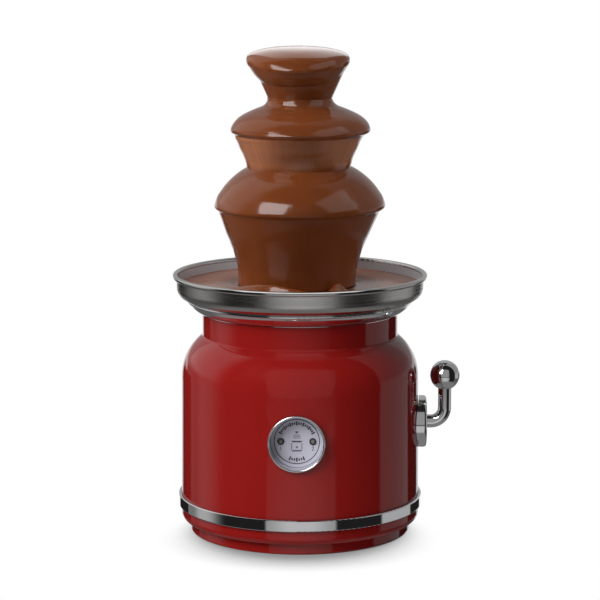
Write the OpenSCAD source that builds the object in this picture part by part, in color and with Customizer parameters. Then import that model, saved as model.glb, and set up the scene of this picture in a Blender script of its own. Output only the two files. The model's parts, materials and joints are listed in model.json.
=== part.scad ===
// Table-top chocolate fountain: a round housing with a heated bowl, a driven auger
// and a three-level tower with the chocolate flowing over it.
// Millimetres, +Z up, the origin on the upright axis at table height, the dial facing -Y, the lever at +X.

/* [Housing] */
// Radius of the housing wall at its foot
body_r = 94.8; // [88:0.2:104]
// How much narrower the wall is where the shoulder starts
wall_draft = 0.9; // [0:0.1:3]
// Height of the wall from its lower edge to the shoulder
wall_h = 115.2; // [108:0.2:146]
// Radius of the rounded shoulder
shoulder_r = 41; // [34:0.5:50]
// Outer radius of the neck
neck_r = 77.2; // [75:0.2:80]
// Height of the neck above the crease
neck_h = 18.4; // [14:0.2:30]
// Radius of the crease between shoulder and neck
crease_r = 2; // [1:0.1:4]
// Radius of the rounded lower edge of the housing
lower_edge_r = 6; // [4:0.2:9]
// Sheet thickness of the housing
shell_t = 1.5; // [1:0.1:2]

/* [Plinth and base] */
// How far the plinth steps in from the housing wall
plinth_inset = 7.2; // [7:0.1:10]
// Visible height of the plinth
plinth_h = 8.6; // [6:0.1:12]
// Wall thickness of the plinth
plinth_t = 3.6; // [3.2:0.1:5]
// Height of the upright rim of the plinth inside the housing
upstand_h = 7.4; // [4:0.2:12]
// Width of the ledge that carries the bottom cover
ledge_w = 7; // [6:0.2:9]
// Height that the foot ring holds the plinth off the table
foot_lift = 1.2; // [0.8:0.1:3]
// Width of the foot ring
foot_w = 6.5; // [4:0.5:9]
// How far the foot ring is set into the bottom cover
foot_seat = 1; // [0.6:0.1:1.4]
// Thickness of the bottom cover
cover_t = 2.6; // [2:0.1:3.2]
// Number of vent slots in the bottom cover
vent_count = 10; // [6:1:14]
// Width of a vent slot
vent_w = 5; // [3:0.5:7]
// Number of screws in the bottom cover
cover_screw_count = 4; // [3:1:6]

/* [Trim band] */
// Height of the band's lower edge above the foot of the housing
band_base = 11.8; // [8:0.2:26]
// Height of the band
band_h = 9.2; // [6:0.2:14]
// How far the band stands off the wall
band_proud = 2.3; // [1.6:0.1:4]
// Radius of the band's edges
band_edge_r = 0.9; // [0.4:0.1:1.2]

/* [Collar] */
// How far the collar flares out past the neck
collar_flare = 12; // [9:0.2:15]
// Height of the collar
collar_h = 10.6; // [9.5:0.2:15]
// Radius of the collar's dished side
collar_dish_r = 19; // [15:0.5:26]
// Sheet thickness of the collar
collar_t = 1; // [0.8:0.1:1.4]
// Radius of the collar's rolled edge
collar_bead_r = 1.3; // [1:0.1:1.8]

/* [Bowl] */
// Radius of the bowl over its rolled rim
rim_r = 100.6; // [97:0.2:112]
// Radius of the rolled rim's section
bead_r = 2; // [1.4:0.1:3]
// Height of the rolled rim above the bowl's underside
rim_h = 18.2; // [16:0.2:34]
// How much narrower the bowl's wall is at its foot
bowl_taper = 0.6; // [0:0.1:3]
// Radius of the bowl's lower edge
bowl_edge_r = 9.4; // [6:0.2:12]
// Sheet thickness of the bowl
bowl_t = 1; // [0.8:0.1:1.4]
// Radius of the sump in the middle of the bowl
sump_r = 65; // [62:0.5:66]
// Depth of the sump below the bowl's floor
sump_depth = 11; // [9:0.5:14]
// Height of the shaft hub above the sump's floor
hub_h = 9; // [7:0.5:11]
// Wall thickness of the shaft hub
hub_t = 1.8; // [1.2:0.1:2.4]

/* [Drive] */
// Radius of the drive shaft
shaft_r = 4; // [3.5:0.1:4.5]
// Wall thickness of the bearing bush
bush_t = 4; // [3:0.2:5]
// Height of the shaft seal above the hub
seal_h = 2; // [1.5:0.1:3]
// How far the drive shaft reaches into the auger
socket_depth = 20; // [16:0.5:26]
// Radius of the cross pin
pin_r = 1.5; // [1.2:0.1:1.8]
// Height of the cross pin above the foot of the auger
pin_h = 7; // [5:0.5:9]

/* [Auger] */
// Radius of the auger's core
core_r = 7.4; // [7:0.2:8.6]
// Gap between the auger's flight and the tube
flight_gap = 0.7; // [0.5:0.1:1.5]
// Axial pitch of the flight
flight_pitch = 34; // [26:1:44]
// Axial thickness of the flight
flight_t = 3.4; // [2.4:0.2:5]
// How far the auger ends below the rim of the crown cup
auger_drop = 6; // [5:0.5:10]

/* [Tower] */
// Outer radius of the tower tube
tube_r = 21.5; // [20:0.1:21.8]
// Wall thickness of the tower tube
tube_t = 1.6; // [1.2:0.1:2]
// Thickness of tiers and their sleeves
tier_t = 1.3; // [1.1:0.1:1.5]
// Number of inlet windows in the foot of the tube
window_count = 4; // [3:1:5]
// Width of an inlet window
window_w = 14; // [10:0.5:18]
// Height of an inlet window up to its round top
window_h = 8; // [5:0.5:12]
// Number of locating studs in the bowl
stud_count = 3; // [3:1:4]
// Radius of a locating stud
stud_r = 2.2; // [1.8:0.1:2.8]
// Height of a locating stud
stud_h = 8; // [6:0.5:12]
// Height of the crown's lip above the sump's floor
crown_lip_h = 198; // [190:0.5:215]
// Height of the crown's lip above the middle lip
middle_lip_h = 53; // [48:0.5:62]
// Height of the middle lip above the lower lip
lower_lip_h = 59.5; // [54:0.5:68]

/* [Chocolate] */
// Depth of the chocolate above the bowl's underside
pool_depth = 11; // [8:0.2:14]
// Thickness of the chocolate that runs over the tiers
film_t = 2.6; // [2:0.1:3.4]
// Thickness of the falling curtains
curtain_t = 2.6; // [2:0.1:3.4]
// Radius of the crown over the chocolate
crown_r = 40.6; // [38:0.2:44]
// Height of the chocolate mound over the crown's lip
mound_h = 10.4; // [7:0.2:14]
// Radius of the middle level at its lip
middle_r = 54.7; // [52:0.2:58]
// Radius of the dome of the middle level
middle_dome_r = 46.8; // [44:0.2:50]
// Radius of the lip of the middle level
middle_lip_r = 3.4; // [3:0.1:3.8]
// Radius of the lower level at its lip
lower_r = 67.1; // [64:0.2:70]
// Radius of the dome of the lower level
lower_dome_r = 58.4; // [56:0.2:62]
// Radius of the lip of the lower level
lower_lip_r = 4; // [3.6:0.1:4.6]
// Radius of the middle curtain where it lands
middle_foot_r = 41; // [38:0.2:44]
// Radius of the lower curtain where it meets the pool
lower_foot_r = 45.6; // [43:0.2:50]

/* [Heater] */
// Radius of the heating element's ring
heater_r = 44; // [40:0.5:46]
// Radius of the heating element's tube
heater_tube_r = 3.4; // [2.8:0.1:3.8]
// Width of the gap between the ends of the element
heater_gap = 18; // [14:1:26]
// Thickness of the clamp plate
clamp_t = 1.6; // [1.2:0.1:2.4]
// Radius of the studs that hold the clamp plate
clamp_stud_r = 2; // [1.6:0.1:2.4]
// Radius of the thermostat
thermostat_r = 8; // [6:0.5:9]
// Height of the thermostat
thermostat_h = 7; // [5:0.5:8]

/* [Motor] */
// Depth of the pan that carries the motor
pan_depth = 15; // [14:0.5:22]
// Sheet thickness of the pan
pan_t = 1.2; // [1:0.1:1.6]
// Radius of the gearbox
gearbox_r = 32; // [28:0.5:36]
// Height of the gearbox
gearbox_h = 24; // [20:0.5:30]
// Width of the gearbox flange
gearbox_flange = 8; // [7:0.5:10]
// Radius of the motor
motor_r = 27; // [24:0.5:30]
// Height of the motor
motor_h = 40; // [30:0.5:52]

/* [Lever] */
// Height of the lever's axis above the table
lever_z = 88; // [70:0.5:100]
// Radius of the disc round the lever
escutcheon_r = 20.6; // [18:0.2:24]
// How far the disc stands off the wall
escutcheon_proud = 6.6; // [6:0.1:9]
// Radius of the disc's rounded edge
escutcheon_edge_r = 2.6; // [1.5:0.1:3.2]
// Radius of the lever's rod
arm_r = 5.25; // [4.5:0.05:6]
// Radius of the lever's bend
bend_r = 11; // [9:0.5:14]
// Distance from the disc to the upright rod's axis
arm_reach = 14.2; // [12.6:0.2:20]
// Height of the ball's centre above the lever's axis
arm_h = 37.4; // [32:0.2:50]
// Radius of the ball
ball_r = 11.8; // [10:0.1:13]
// Radius of the switch spindle
spindle_r = 3; // [2.6:0.1:3.4]
// Width of the rotary switch
switch_w = 26; // [22:0.5:30]
// Depth of the rotary switch
switch_d = 22; // [18:0.5:28]

/* [Gauge] */
// Height of the gauge's centre above the table
gauge_z = 90.2; // [80:0.1:95]
// Radius of the gauge over its bezel
bezel_r = 22; // [20:0.2:26]
// Width of the bezel's lip
bezel_w = 1.7; // [1.5:0.1:3]
// Wall thickness of the bezel's barrel, which goes through the housing
barrel_t = 0.8; // [0.6:0.1:1]
// How far the bezel stands off the wall
bezel_proud = 3.4; // [2.6:0.1:5]
// Thickness of the dial
dial_t = 1.2; // [0.8:0.1:1.6]
// How far the dial lies behind the bezel's front
dial_sink = 11; // [6:0.1:14]
// Radius of a lamp
lamp_r = 2.65; // [2.2:0.05:3.4]
// Distance of a lamp from the gauge's centre
lamp_offset = 12.2; // [10:0.1:13]
// Depth of the lamp housing behind the dial
lamp_housing_d = 18; // [14:0.5:24]

/* [Cord inlet] */
// Height of the cord inlet above the table
grommet_z = 46; // [40:0.5:60]
// Radius of the cord that the inlet takes
cord_r = 3.2; // [2.8:0.1:3.6]
// Radius of the grommet's flanges
grommet_r = 8; // [7:0.2:9]

/* [Screws] */
// Radius of a screw
screw_r = 1.5; // [1.2:0.1:1.8]
// Radius of a screw's head
screw_head_r = 2.8; // [2.4:0.1:3.2]
// Height of a screw's head
screw_head_h = 1.4; // [1:0.1:1.6]
// Number of screws that clamp the bowl
clamp_screw_count = 4; // [3:1:6]

/* [Fits] */
// Gap round a thread in its hole
thread_gap = 0.02; // [0.01:0.01:0.05]
// Gap round a screw that passes through
screw_gap = 0.2; // [0.1:0.05:0.3]
// Gap between the chocolate and what it runs over
flow_gap = 0.3; // [0.2:0.05:0.5]
// Gap between pieces that are seated on each other
seat_gap = 0.15; // [0.05:0.05:0.25]
// Gap round a shaft that turns in a bore
run_gap = 0.05; // [0.03:0.01:0.1]
// Gap between pieces that move past each other
move_gap = 0.4; // [0.3:0.05:0.6]

/* [Hidden] */
$fn = 96;
// A cut reaches this far past the face it goes through
past = 1;

// Colours
red = [0.50, 0.07, 0.06];
chrome = [0.80, 0.80, 0.82];
steel = [0.62, 0.61, 0.60];
dark_steel = [0.45, 0.45, 0.46];
black = [0.10, 0.10, 0.11];
brass = [0.72, 0.58, 0.30];
pale = [0.82, 0.82, 0.80];
tower_grey = [0.86, 0.84, 0.80];
chocolate = [0.32, 0.14, 0.06];
rubber = [0.16, 0.16, 0.17];

// Housing heights and radii
body_z = foot_lift + plinth_h;
shoulder_z = body_z + wall_h;
body_top_r = body_r - wall_draft;
shoulder_c = [body_top_r - shoulder_r, shoulder_z];
crease_z = shoulder_z + sqrt(pow(shoulder_r, 2) - pow(neck_r - shoulder_c[0], 2));
neck_top = crease_z + neck_h;
crease_c = [neck_r + crease_r,
    shoulder_z + sqrt(pow(shoulder_r + crease_r, 2) - pow(neck_r + crease_r - shoulder_c[0], 2))];
function wall_at(z) = body_r - wall_draft * (z - body_z - lower_edge_r) / (wall_h - lower_edge_r);

// Plinth, cover and foot ring
plinth_r = body_r - plinth_inset;
upstand_r = plinth_r - plinth_t / 2;
cover_r = plinth_r - plinth_t - seat_gap;
cover_lift = 0.4;
cover_z = foot_lift + cover_lift;
ledge_z = cover_z + cover_t;
foot_inset = 1;
foot_out = plinth_r - plinth_t - ledge_w - foot_inset;
cover_screw_ring = plinth_r - plinth_t - ledge_w / 2;

// Collar and bowl
collar_r = neck_r + collar_flare;
collar_step = 0.2;
collar_seat_r = neck_r + collar_step;
collar_edge = [collar_r - collar_bead_r, neck_top + collar_h - collar_bead_r];
collar_c = arc_centre([collar_seat_r, neck_top], [collar_r, collar_edge[1]], collar_dish_r);
bowl_z = neck_top + collar_h;
rim_z = bowl_z + rim_h;
rim_c = [rim_r - bead_r, rim_z];
bead_lap = 1.4;
bowl_r = rim_r - bead_lap * bead_r;
bowl_foot_r = bowl_r - bowl_taper;
sump_z = bowl_z - sump_depth;
sump_floor = sump_z + bowl_t;
bush_r = shaft_r + run_gap + bush_t;
hub_in = bush_r + seat_gap;
hub_out = hub_in + hub_t;
hub_top = sump_floor + hub_h;
neck_lip_gap = 3.5;
neck_lip_r = sump_r + neck_lip_gap;
clamp_ring = (neck_lip_r + neck_r - shell_t) / 2;
boss_r = 3.2;

// Pan, heater and motor
pan_top = neck_top - shell_t;
pan_inset = 1;
pan_rim_gap = 0.4;
pan_wall_r = neck_lip_r - pan_inset;
pan_floor = pan_top - pan_depth;
heater_z = sump_z - seat_gap - heater_tube_r;
clamp_top = heater_z - heater_tube_r - seat_gap;
clamp_stud_gap = 4;
clamp_edge = 2;
clamp_stud_ring = heater_r + heater_tube_r + 2 * clamp_stud_r + clamp_stud_gap;
clamp_plate_r = clamp_stud_ring + clamp_stud_r + clamp_edge;
clamp_hole_r = heater_r - heater_tube_r;
nut_h = 3;
clamp_stud_tip = 1;
clamp_stud_end = clamp_top - clamp_t - nut_h - clamp_stud_tip;
sensor_ring = (hub_out + clamp_hole_r) / 2;
gearbox_z = pan_floor - gearbox_h;
gearbox_flange_t = 3;
gearbox_boss_t = 6;
gearbox_boss_h = 2;
gearbox_boss_r = shaft_r + gearbox_boss_t;
shaft_seat = 4;
motor_screw_ring = gearbox_r + gearbox_flange / 2;

// Drive and auger
auger_lift = 1;
auger_z = hub_top + seal_h + auger_lift;
pin_z = auger_z + pin_h;
shaft_top = auger_z + socket_depth;
pin_reach = core_r - move_gap;
tube_in = tube_r - tube_t;
flight_r = tube_in - flight_gap;

// Tower
tower_z = sump_floor + seat_gap;
sleeve_in = tube_r + seat_gap;
sleeve_r = sleeve_in + tier_t;
film_in = sleeve_r + flow_gap;
crown_lip_z = tower_z + crown_lip_h;
middle_lip_z = crown_lip_z - middle_lip_h;
lower_lip_z = middle_lip_z - lower_lip_h;
stud_set = 5;
lug_wall = 3;
lug_t = 3;
stud_ring = tube_r + stud_r + stud_set;
lug_r = stud_r + lug_wall;
neck_film_t = 2.2;
neck_film_r = film_in + neck_film_t;
cup_inset = 1;
cup_drop = 3;
cup_h = 20;
cup_rim_r = crown_r - film_t - cup_inset;
cup_rim_z = crown_lip_z - cup_drop;
cup_foot_z = cup_rim_z - cup_h;
auger_top = cup_rim_z - auger_drop;
middle_dome_x = 20;
lower_dome_x = 14;
middle_c = dome_centre(middle_r, middle_dome_r, middle_lip_r, middle_lip_z, middle_dome_x);
lower_c = dome_centre(lower_r, lower_dome_r, lower_lip_r, lower_lip_z, lower_dome_x);
middle_plate_r = middle_dome_r - film_t;
lower_plate_r = lower_dome_r - film_t;
middle_edge_a = lip_angle(middle_r, middle_lip_r, middle_lip_z, middle_c);
lower_edge_a = lip_angle(lower_r, lower_lip_r, lower_lip_z, lower_c);
middle_hub_z = middle_c[1] + dome_height(middle_plate_r - tier_t, middle_c, sleeve_r);
lower_hub_z = lower_c[1] + dome_height(lower_plate_r - tier_t, lower_c, sleeve_r);
sleeve_drop = 6;
lower_seat_z = lower_hub_z - sleeve_drop;

// Chocolate
pool_z = bowl_z + pool_depth;
pool_clear = 2;
pool_in = stud_ring + lug_r + pool_clear;
middle_land_z = lower_c[1] + dome_height(lower_dome_r, lower_c, middle_foot_r - curtain_t) + flow_gap;
crown_land_z = middle_c[1] + dome_height(middle_dome_r, middle_c, film_in) + flow_gap;

// Lever
lever_wall = wall_at(lever_z);
lever_face = lever_wall + escutcheon_proud;
arm_seat = 2;
arm_start = lever_face - arm_seat;
arm_x = lever_face + arm_reach;
switch_front = sqrt(pow(lever_wall - shell_t, 2) - pow(switch_w / 2, 2)) - seat_gap;
switch_bush_t = 1.8;
switch_bush_h = 3;
switch_nut_t = 3;
switch_back_t = 4;
switch_bush_r = spindle_r + run_gap + switch_bush_t;
switch_bush_end = lever_wall + switch_bush_h;
switch_nut_r = switch_bush_r + switch_nut_t;
spindle_back = switch_front - switch_d + switch_back_t;

// Gauge
gauge_wall = wall_at(gauge_z);
bezel_front = gauge_wall + bezel_proud;
barrel_in = bezel_r - bezel_w;
barrel_r = barrel_in + barrel_t;
dial_r = barrel_in - seat_gap;
dial_front = bezel_front - dial_sink;
dial_back = dial_front - dial_t;
barrel_lap = 2;
barrel_back = dial_back - barrel_lap;
lamp_housing_inset = 0.6;
lamp_housing_r = dial_r - lamp_housing_inset;
lamp_housing_t = 1.6;
gauge_hole_r = barrel_r + seat_gap;

// Cord inlet
grommet_wall = wall_at(grommet_z);
grommet_t = 2.2;
grommet_neck_r = cord_r + grommet_t;
grommet_flange_t = 2;

// Points of an arc, from angle a0 to angle a1
function arc(c, r, a0, a1, n = 10) = [
    for (i = [0 : n]) let (a = a0 + (a1 - a0) * i / n) c + r * [cos(a), sin(a)]
];

// Centre of the circle of radius r through p and q, on the left of the way from p to q
function arc_centre(p, q, r) =
    let (m = (p + q) / 2, d = q - p, l = norm(d), h = sqrt(pow(r, 2) - pow(l / 2, 2)))
    m + h * [-d[1], d[0]] / l;

// Centre of a dome that runs smoothly into a round lip
function dome_centre(r, dome_r, lip_r, lip_z, x) =
    [x, lip_z - sqrt(pow(dome_r - lip_r, 2) - pow(r - lip_r - x, 2))];

// Height of a dome over its centre at radius r
function dome_height(dome_r, c, r) = sqrt(pow(dome_r, 2) - pow(r - c[0], 2));

// Angle at which the dome meets its lip
function lip_angle(r, lip_r, lip_z, c) = atan2(lip_z - c[1], r - lip_r - c[0]);

// Angle of the dome at radius r
function dome_angle(dome_r, c, r) = acos((r - c[0]) / dome_r);

// Copies its children round the axis
module around(count, radius, start = 0) {
    for (i = [0 : count - 1])
        rotate(start + 360 * i / count) translate([radius, 0, 0]) children();
}

// Upright tube from z0 to z1
module tube(r_out, r_in, z0, z1) {
    translate([0, 0, z0]) difference() {
        cylinder(r = r_out, h = z1 - z0);
        translate([0, 0, -past]) cylinder(r = r_in, h = z1 - z0 + 2 * past);
    }
}

// Upright rod from z0 to z1
module rod(r, z0, z1) {
    translate([0, 0, z0]) cylinder(r = r, h = z1 - z0);
}

// Pan-head screw standing head down, its head's seat at z = 0
module screw(shank) {
    rod(screw_r, 0, shank);
    rod(screw_head_r, -screw_head_h, 0);
}

// Turns a shape made along +Z so that +Z points to the right
module to_right() {
    translate([0, 0, lever_z]) rotate([0, 90, 0]) children();
}

// Turns a shape made along +Z so that +Z points to the front
module to_front() {
    translate([0, 0, gauge_z]) rotate([90, 0, 0]) children();
}

// Turns a shape made along +Z so that +Z points to the back
module to_back() {
    translate([0, 0, grommet_z]) rotate([-90, 0, 0]) children();
}

// Quarter of a disc, below and to the right of its centre
module lower_quarter(r) {
    intersection() {
        circle(r);
        translate([0, -r]) square(r);
    }
}

// Half section of the housing, drawn in by the inset
module body_outline(inset) {
    edge_x = body_r - lower_edge_r;
    edge_z = body_z + lower_edge_r;
    translate([edge_x, edge_z]) lower_quarter(lower_edge_r - inset);
    polygon([
        [0, body_z + inset], [edge_x, body_z + inset], [edge_x, edge_z],
        [body_r - inset, edge_z], [body_top_r - inset, shoulder_z], [0, shoulder_z]
    ]);
    intersection() {
        translate(shoulder_c) circle(shoulder_r - inset);
        translate(shoulder_c) square([shoulder_r, crease_z - shoulder_z]);
    }
    translate([0, shoulder_z - past]) square([shoulder_c[0] + past, crease_z - shoulder_z]);
    polygon([
        [0, shoulder_z], [neck_r - inset, shoulder_z], [neck_r - inset, neck_top - inset], [0, neck_top - inset]
    ]);
    difference() {
        polygon([
            [neck_r - inset - past, crease_z - 2 * crease_r], [crease_c[0] - inset, crease_z - 2 * crease_r],
            crease_touch(inset), crease_c, [neck_r - inset - past, crease_c[1]]
        ]);
        translate(crease_c) circle(crease_r + inset);
    }
}

// Where the crease runs into the shoulder
function crease_touch(inset) =
    shoulder_c + (shoulder_r - inset) * (crease_c - shoulder_c) / (shoulder_r + crease_r);

// Half section of the bowl's sheet, drawn in by the inset
module bowl_outline(inset) {
    edge_x = bowl_foot_r - bowl_edge_r;
    edge_z = bowl_z + bowl_edge_r;
    translate([edge_x, edge_z]) lower_quarter(bowl_edge_r - inset);
    polygon([
        [0, bowl_z + inset], [edge_x, bowl_z + inset], [edge_x, edge_z],
        [bowl_foot_r - inset, edge_z], [bowl_r - inset, rim_z], [0, rim_z]
    ]);
    translate([0, sump_z + inset]) square([sump_r - inset, sump_depth]);
}

// Solid of the housing's outside, grown by the gap, for cutting pieces that sit on it
module wall_cutter(z, reach) {
    translate([0, 0, z - reach - past])
        cylinder(r = wall_at(z - reach) + seat_gap, h = 2 * (reach + past));
}

// Rubber ring under the base
module foot_ring() {
    color(rubber) tube(foot_out, foot_out - foot_w, 0, cover_z + foot_seat);
}

// Bottom cover with vent slots, a groove for the foot ring and screw holes
module bottom_cover() {
    vent_in = 26;
    vent_out = foot_out - foot_w - 8;
    color(black) difference() {
        rod(cover_r, cover_z, ledge_z);
        tube(foot_out + seat_gap, foot_out - foot_w - seat_gap, cover_z - past, cover_z + foot_seat);
        around(vent_count, vent_in)
            translate([0, -vent_w / 2, cover_z - past])
                cube([vent_out - vent_in, vent_w, cover_t + 2 * past]);
        around(cover_screw_count, cover_screw_ring, 45) {
            rod(screw_r + screw_gap, cover_z - past, ledge_z + past);
            rod(screw_head_r + screw_gap, cover_z - past, cover_z + screw_head_h);
        }
    }
}

// Screws that hold the bottom cover
module cover_screws() {
    tip = 1.6;
    color(dark_steel) around(cover_screw_count, cover_screw_ring, 45)
        translate([0, 0, cover_z + screw_head_h]) screw(cover_t - screw_head_h + plinth_t + tip);
}

// Red ring that the housing stands on
module plinth() {
    edge = 1.6;
    color(red) difference() {
        rotate_extrude() difference() {
            union() {
                translate([cover_r + seat_gap, foot_lift + edge]) square([plinth_t, plinth_h - edge]);
                translate([cover_r + seat_gap, foot_lift]) square([plinth_t - edge, plinth_h]);
                translate([plinth_r - edge, foot_lift + edge]) circle(edge);
                translate([cover_r + seat_gap - ledge_w, ledge_z])
                    square([ledge_w + upstand_r - cover_r - seat_gap, plinth_t]);
                translate([upstand_r - plinth_t / 2, ledge_z])
                    square([plinth_t / 2, body_z + upstand_h - ledge_z]);
            }
            translate([upstand_r, body_z]) square([plinth_t, plinth_t]);
        }
        around(cover_screw_count, cover_screw_ring, 45)
            rod(screw_r + thread_gap, cover_z, body_z + upstand_h);
    }
}

// Red housing shell, open at the foot and at the neck
module outer_shell() {
    color(red) difference() {
        rotate_extrude() difference() {
            body_outline(0);
            body_outline(shell_t);
            square([upstand_r + seat_gap, body_z + lower_edge_r]);
            translate([0, neck_top - lower_edge_r]) square([neck_lip_r, 2 * lower_edge_r]);
        }
        to_right() rod(switch_bush_r + seat_gap, body_top_r / 2, body_r + past);
        to_front() rod(gauge_hole_r, body_top_r / 2, body_r + past);
        to_back() rod(grommet_neck_r + seat_gap, body_top_r / 2, body_r + past);
        around(clamp_screw_count, clamp_ring, 45) rod(screw_r + screw_gap, crease_z, neck_top + past);
    }
}

// Chrome band round the foot of the housing
module trim_band() {
    band_in = wall_at(body_z + band_base) + seat_gap;
    band_w = wall_at(body_z + band_base) + band_proud - band_in;
    color(chrome) rotate_extrude() translate([band_in, body_z + band_base]) {
        square([band_w - band_edge_r, band_h]);
        translate([0, band_edge_r]) square([band_w, band_h - 2 * band_edge_r]);
        for (z = [band_edge_r, band_h - band_edge_r])
            translate([band_w - band_edge_r, z]) circle(band_edge_r);
    }
}

// Polished dished collar between neck and bowl
module neck_collar() {
    color(chrome) difference() {
        rotate_extrude() {
            intersection() {
                translate(collar_c) difference() {
                    circle(collar_dish_r);
                    circle(collar_dish_r - collar_t);
                }
                translate([neck_r - past, neck_top])
                    square([collar_flare + 2 * past, collar_h - collar_bead_r]);
            }
            translate([neck_lip_r, neck_top]) square([neck_r - neck_lip_r + collar_t, collar_t]);
            translate(collar_edge) circle(collar_bead_r);
        }
        around(clamp_screw_count, clamp_ring, 45)
            rod(screw_r + screw_gap, neck_top - past, neck_top + 2 * past);
    }
}

// Stainless bowl: rolled rim, rounded edge, sump, shaft hub, tower studs, screw bosses and heater studs
module bowl() {
    stud_tip = 1.2;
    color(steel) {
        difference() {
            union() {
                rotate_extrude() {
                    difference() {
                        bowl_outline(0);
                        bowl_outline(bowl_t);
                        square([hub_in, hub_top]);
                    }
                    translate(rim_c) circle(bead_r);
                    translate([hub_in, sump_z]) square([hub_t, hub_top - sump_z]);
                }
                around(stud_count, stud_ring, 90) {
                    rod(stud_r, sump_floor - bowl_t / 2, sump_floor + stud_h - stud_tip);
                    translate([0, 0, sump_floor + stud_h - stud_tip])
                        cylinder(r1 = stud_r, r2 = stud_r - stud_tip, h = stud_tip);
                }
                around(clamp_screw_count, clamp_ring, 45)
                    rod(boss_r, neck_top + collar_t, bowl_z + bowl_t / 2);
                around(3, clamp_stud_ring, 30) rod(clamp_stud_r, clamp_stud_end, sump_z + bowl_t / 2);
            }
            around(clamp_screw_count, clamp_ring, 45) rod(screw_r + thread_gap, neck_top, bowl_z - 1.5);
        }
    }
}

// Screws that clamp pan, neck and collar to the bowl
module clamp_screws() {
    color(dark_steel) around(clamp_screw_count, clamp_ring, 45)
        translate([0, 0, pan_top - pan_t]) screw(bowl_z - 2 - pan_top + pan_t);
}

// Steel pan under the bowl that shields the heat and carries the motor
module chassis_pan() {
    color(dark_steel) difference() {
        rotate_extrude() {
            translate([pan_wall_r - pan_t, pan_top - pan_t])
                square([neck_r - shell_t - pan_rim_gap - pan_wall_r + pan_t, pan_t]);
            translate([pan_wall_r - pan_t, pan_floor]) square([pan_t, pan_depth]);
            translate([gearbox_boss_r + seat_gap, pan_floor])
                square([pan_wall_r - gearbox_boss_r - seat_gap, pan_t]);
        }
        around(clamp_screw_count, clamp_ring, 45) rod(screw_r + screw_gap, pan_floor, pan_top + past);
        around(3, motor_screw_ring, 90) rod(screw_r + thread_gap, pan_floor - past, pan_floor + pan_t + past);
    }
}

// Bronze bush that carries the drive shaft in the hub
module bearing_bush() {
    color(brass) tube(bush_r, shaft_r + run_gap, sump_z, hub_top);
}

// Lip seal that covers the hub
module shaft_seal() {
    color(rubber) tube(hub_out, shaft_r + run_gap, hub_top, hub_top + seal_h);
}

// Tubular heating element under the sump, with its two terminals
module heater_ring() {
    terminal_h = 4;
    terminal_r = heater_tube_r - 1.2;
    half_gap = asin(heater_gap / 2 / heater_r);
    terminal_a = half_gap + asin(heater_tube_r / heater_r);
    color(dark_steel) {
        translate([0, 0, heater_z]) rotate(180 + half_gap) rotate_extrude(angle = 360 - 2 * half_gap)
            translate([heater_r, 0]) circle(heater_tube_r);
        for (a = [180 - terminal_a, 180 + terminal_a])
            rotate(a) translate([heater_r, 0, 0])
                rod(terminal_r, clamp_top - clamp_t - terminal_h, heater_z);
    }
}

// Plate that presses the heating element against the bowl
module heater_clamp() {
    slot_reach = heater_tube_r + 2.4;
    color(steel) difference() {
        tube(clamp_plate_r, clamp_hole_r, clamp_top - clamp_t, clamp_top);
        around(3, clamp_stud_ring, 30)
            rod(clamp_stud_r + seat_gap, clamp_top - clamp_t - past, clamp_top + past);
        translate([-heater_r - slot_reach, -heater_gap / 2 - slot_reach, clamp_top - clamp_t - past])
            cube([2 * slot_reach, heater_gap + 2 * slot_reach, clamp_t + 2 * past]);
    }
}

// Nuts on the heater studs
module clamp_nuts() {
    color(steel) around(3, clamp_stud_ring, 30) translate([0, 0, clamp_top - clamp_t - nut_h]) difference() {
        cylinder(r = 2 * clamp_stud_r, h = nut_h, $fn = 6);
        translate([0, 0, -past]) cylinder(r = clamp_stud_r + thread_gap, h = nut_h + 2 * past);
    }
}

// Disc thermostat against the sump, with its two terminals
module thermostat() {
    color(black) translate([0, sensor_ring, 0]) {
        rod(thermostat_r, sump_z - seat_gap - thermostat_h, sump_z - seat_gap);
        for (x = [-1, 1]) translate([x * thermostat_r / 2 - 1.5, -0.4, sump_z - seat_gap - thermostat_h - 4])
            cube([3, 0.8, 5]);
    }
}

// Thermal fuse against the sump
module thermal_fuse() {
    fuse_r = 2.2;
    fuse_l = 14;
    color(pale) translate([-fuse_l / 2, -sensor_ring, sump_z - seat_gap - fuse_r])
        rotate([0, 90, 0]) cylinder(r = fuse_r, h = fuse_l);
}

// Gearbox with its mounting flange and shaft boss
module gearbox_case() {
    color(dark_steel) difference() {
        union() {
            rod(gearbox_r, gearbox_z, pan_floor);
            rod(gearbox_r + gearbox_flange, pan_floor - gearbox_flange_t, pan_floor);
            rod(gearbox_boss_r, pan_floor - past, pan_floor + pan_t + gearbox_boss_h);
        }
        rod(shaft_r + run_gap, gearbox_z + shaft_seat, pan_floor + pan_t + gearbox_boss_h + past);
        around(3, motor_screw_ring, 90)
            rod(screw_r + screw_gap, pan_floor - gearbox_flange_t - past, pan_floor + past);
    }
}

// Motor under the gearbox, with its stepped end cap
module motor_can() {
    cap_h = 6;
    color(steel) {
        rod(motor_r, gearbox_z - motor_h, gearbox_z);
        rod(motor_r / 2, gearbox_z - motor_h - cap_h, gearbox_z - motor_h);
    }
}

// Screws of the gear motor
module motor_screws() {
    color(dark_steel) around(3, motor_screw_ring, 90)
        translate([0, 0, pan_floor - gearbox_flange_t]) screw(gearbox_flange_t + pan_t + 2);
}

// Rotary switch behind the wall, with the bush that goes through it
module rotary_switch() {
    color(black) difference() {
        union() {
            translate([switch_front - switch_d, -switch_w / 2, lever_z - switch_w / 2])
                cube([switch_d, switch_w, switch_w]);
            to_right() rod(switch_bush_r, switch_front - past, switch_bush_end);
            for (y = [-1, 1]) translate([switch_front - switch_d - 6, y * switch_w / 4 - 2, lever_z - 0.5])
                cube([7, 4, 1]);
        }
        to_right() rod(spindle_r + run_gap, spindle_back - run_gap, switch_bush_end + past);
    }
}

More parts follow.
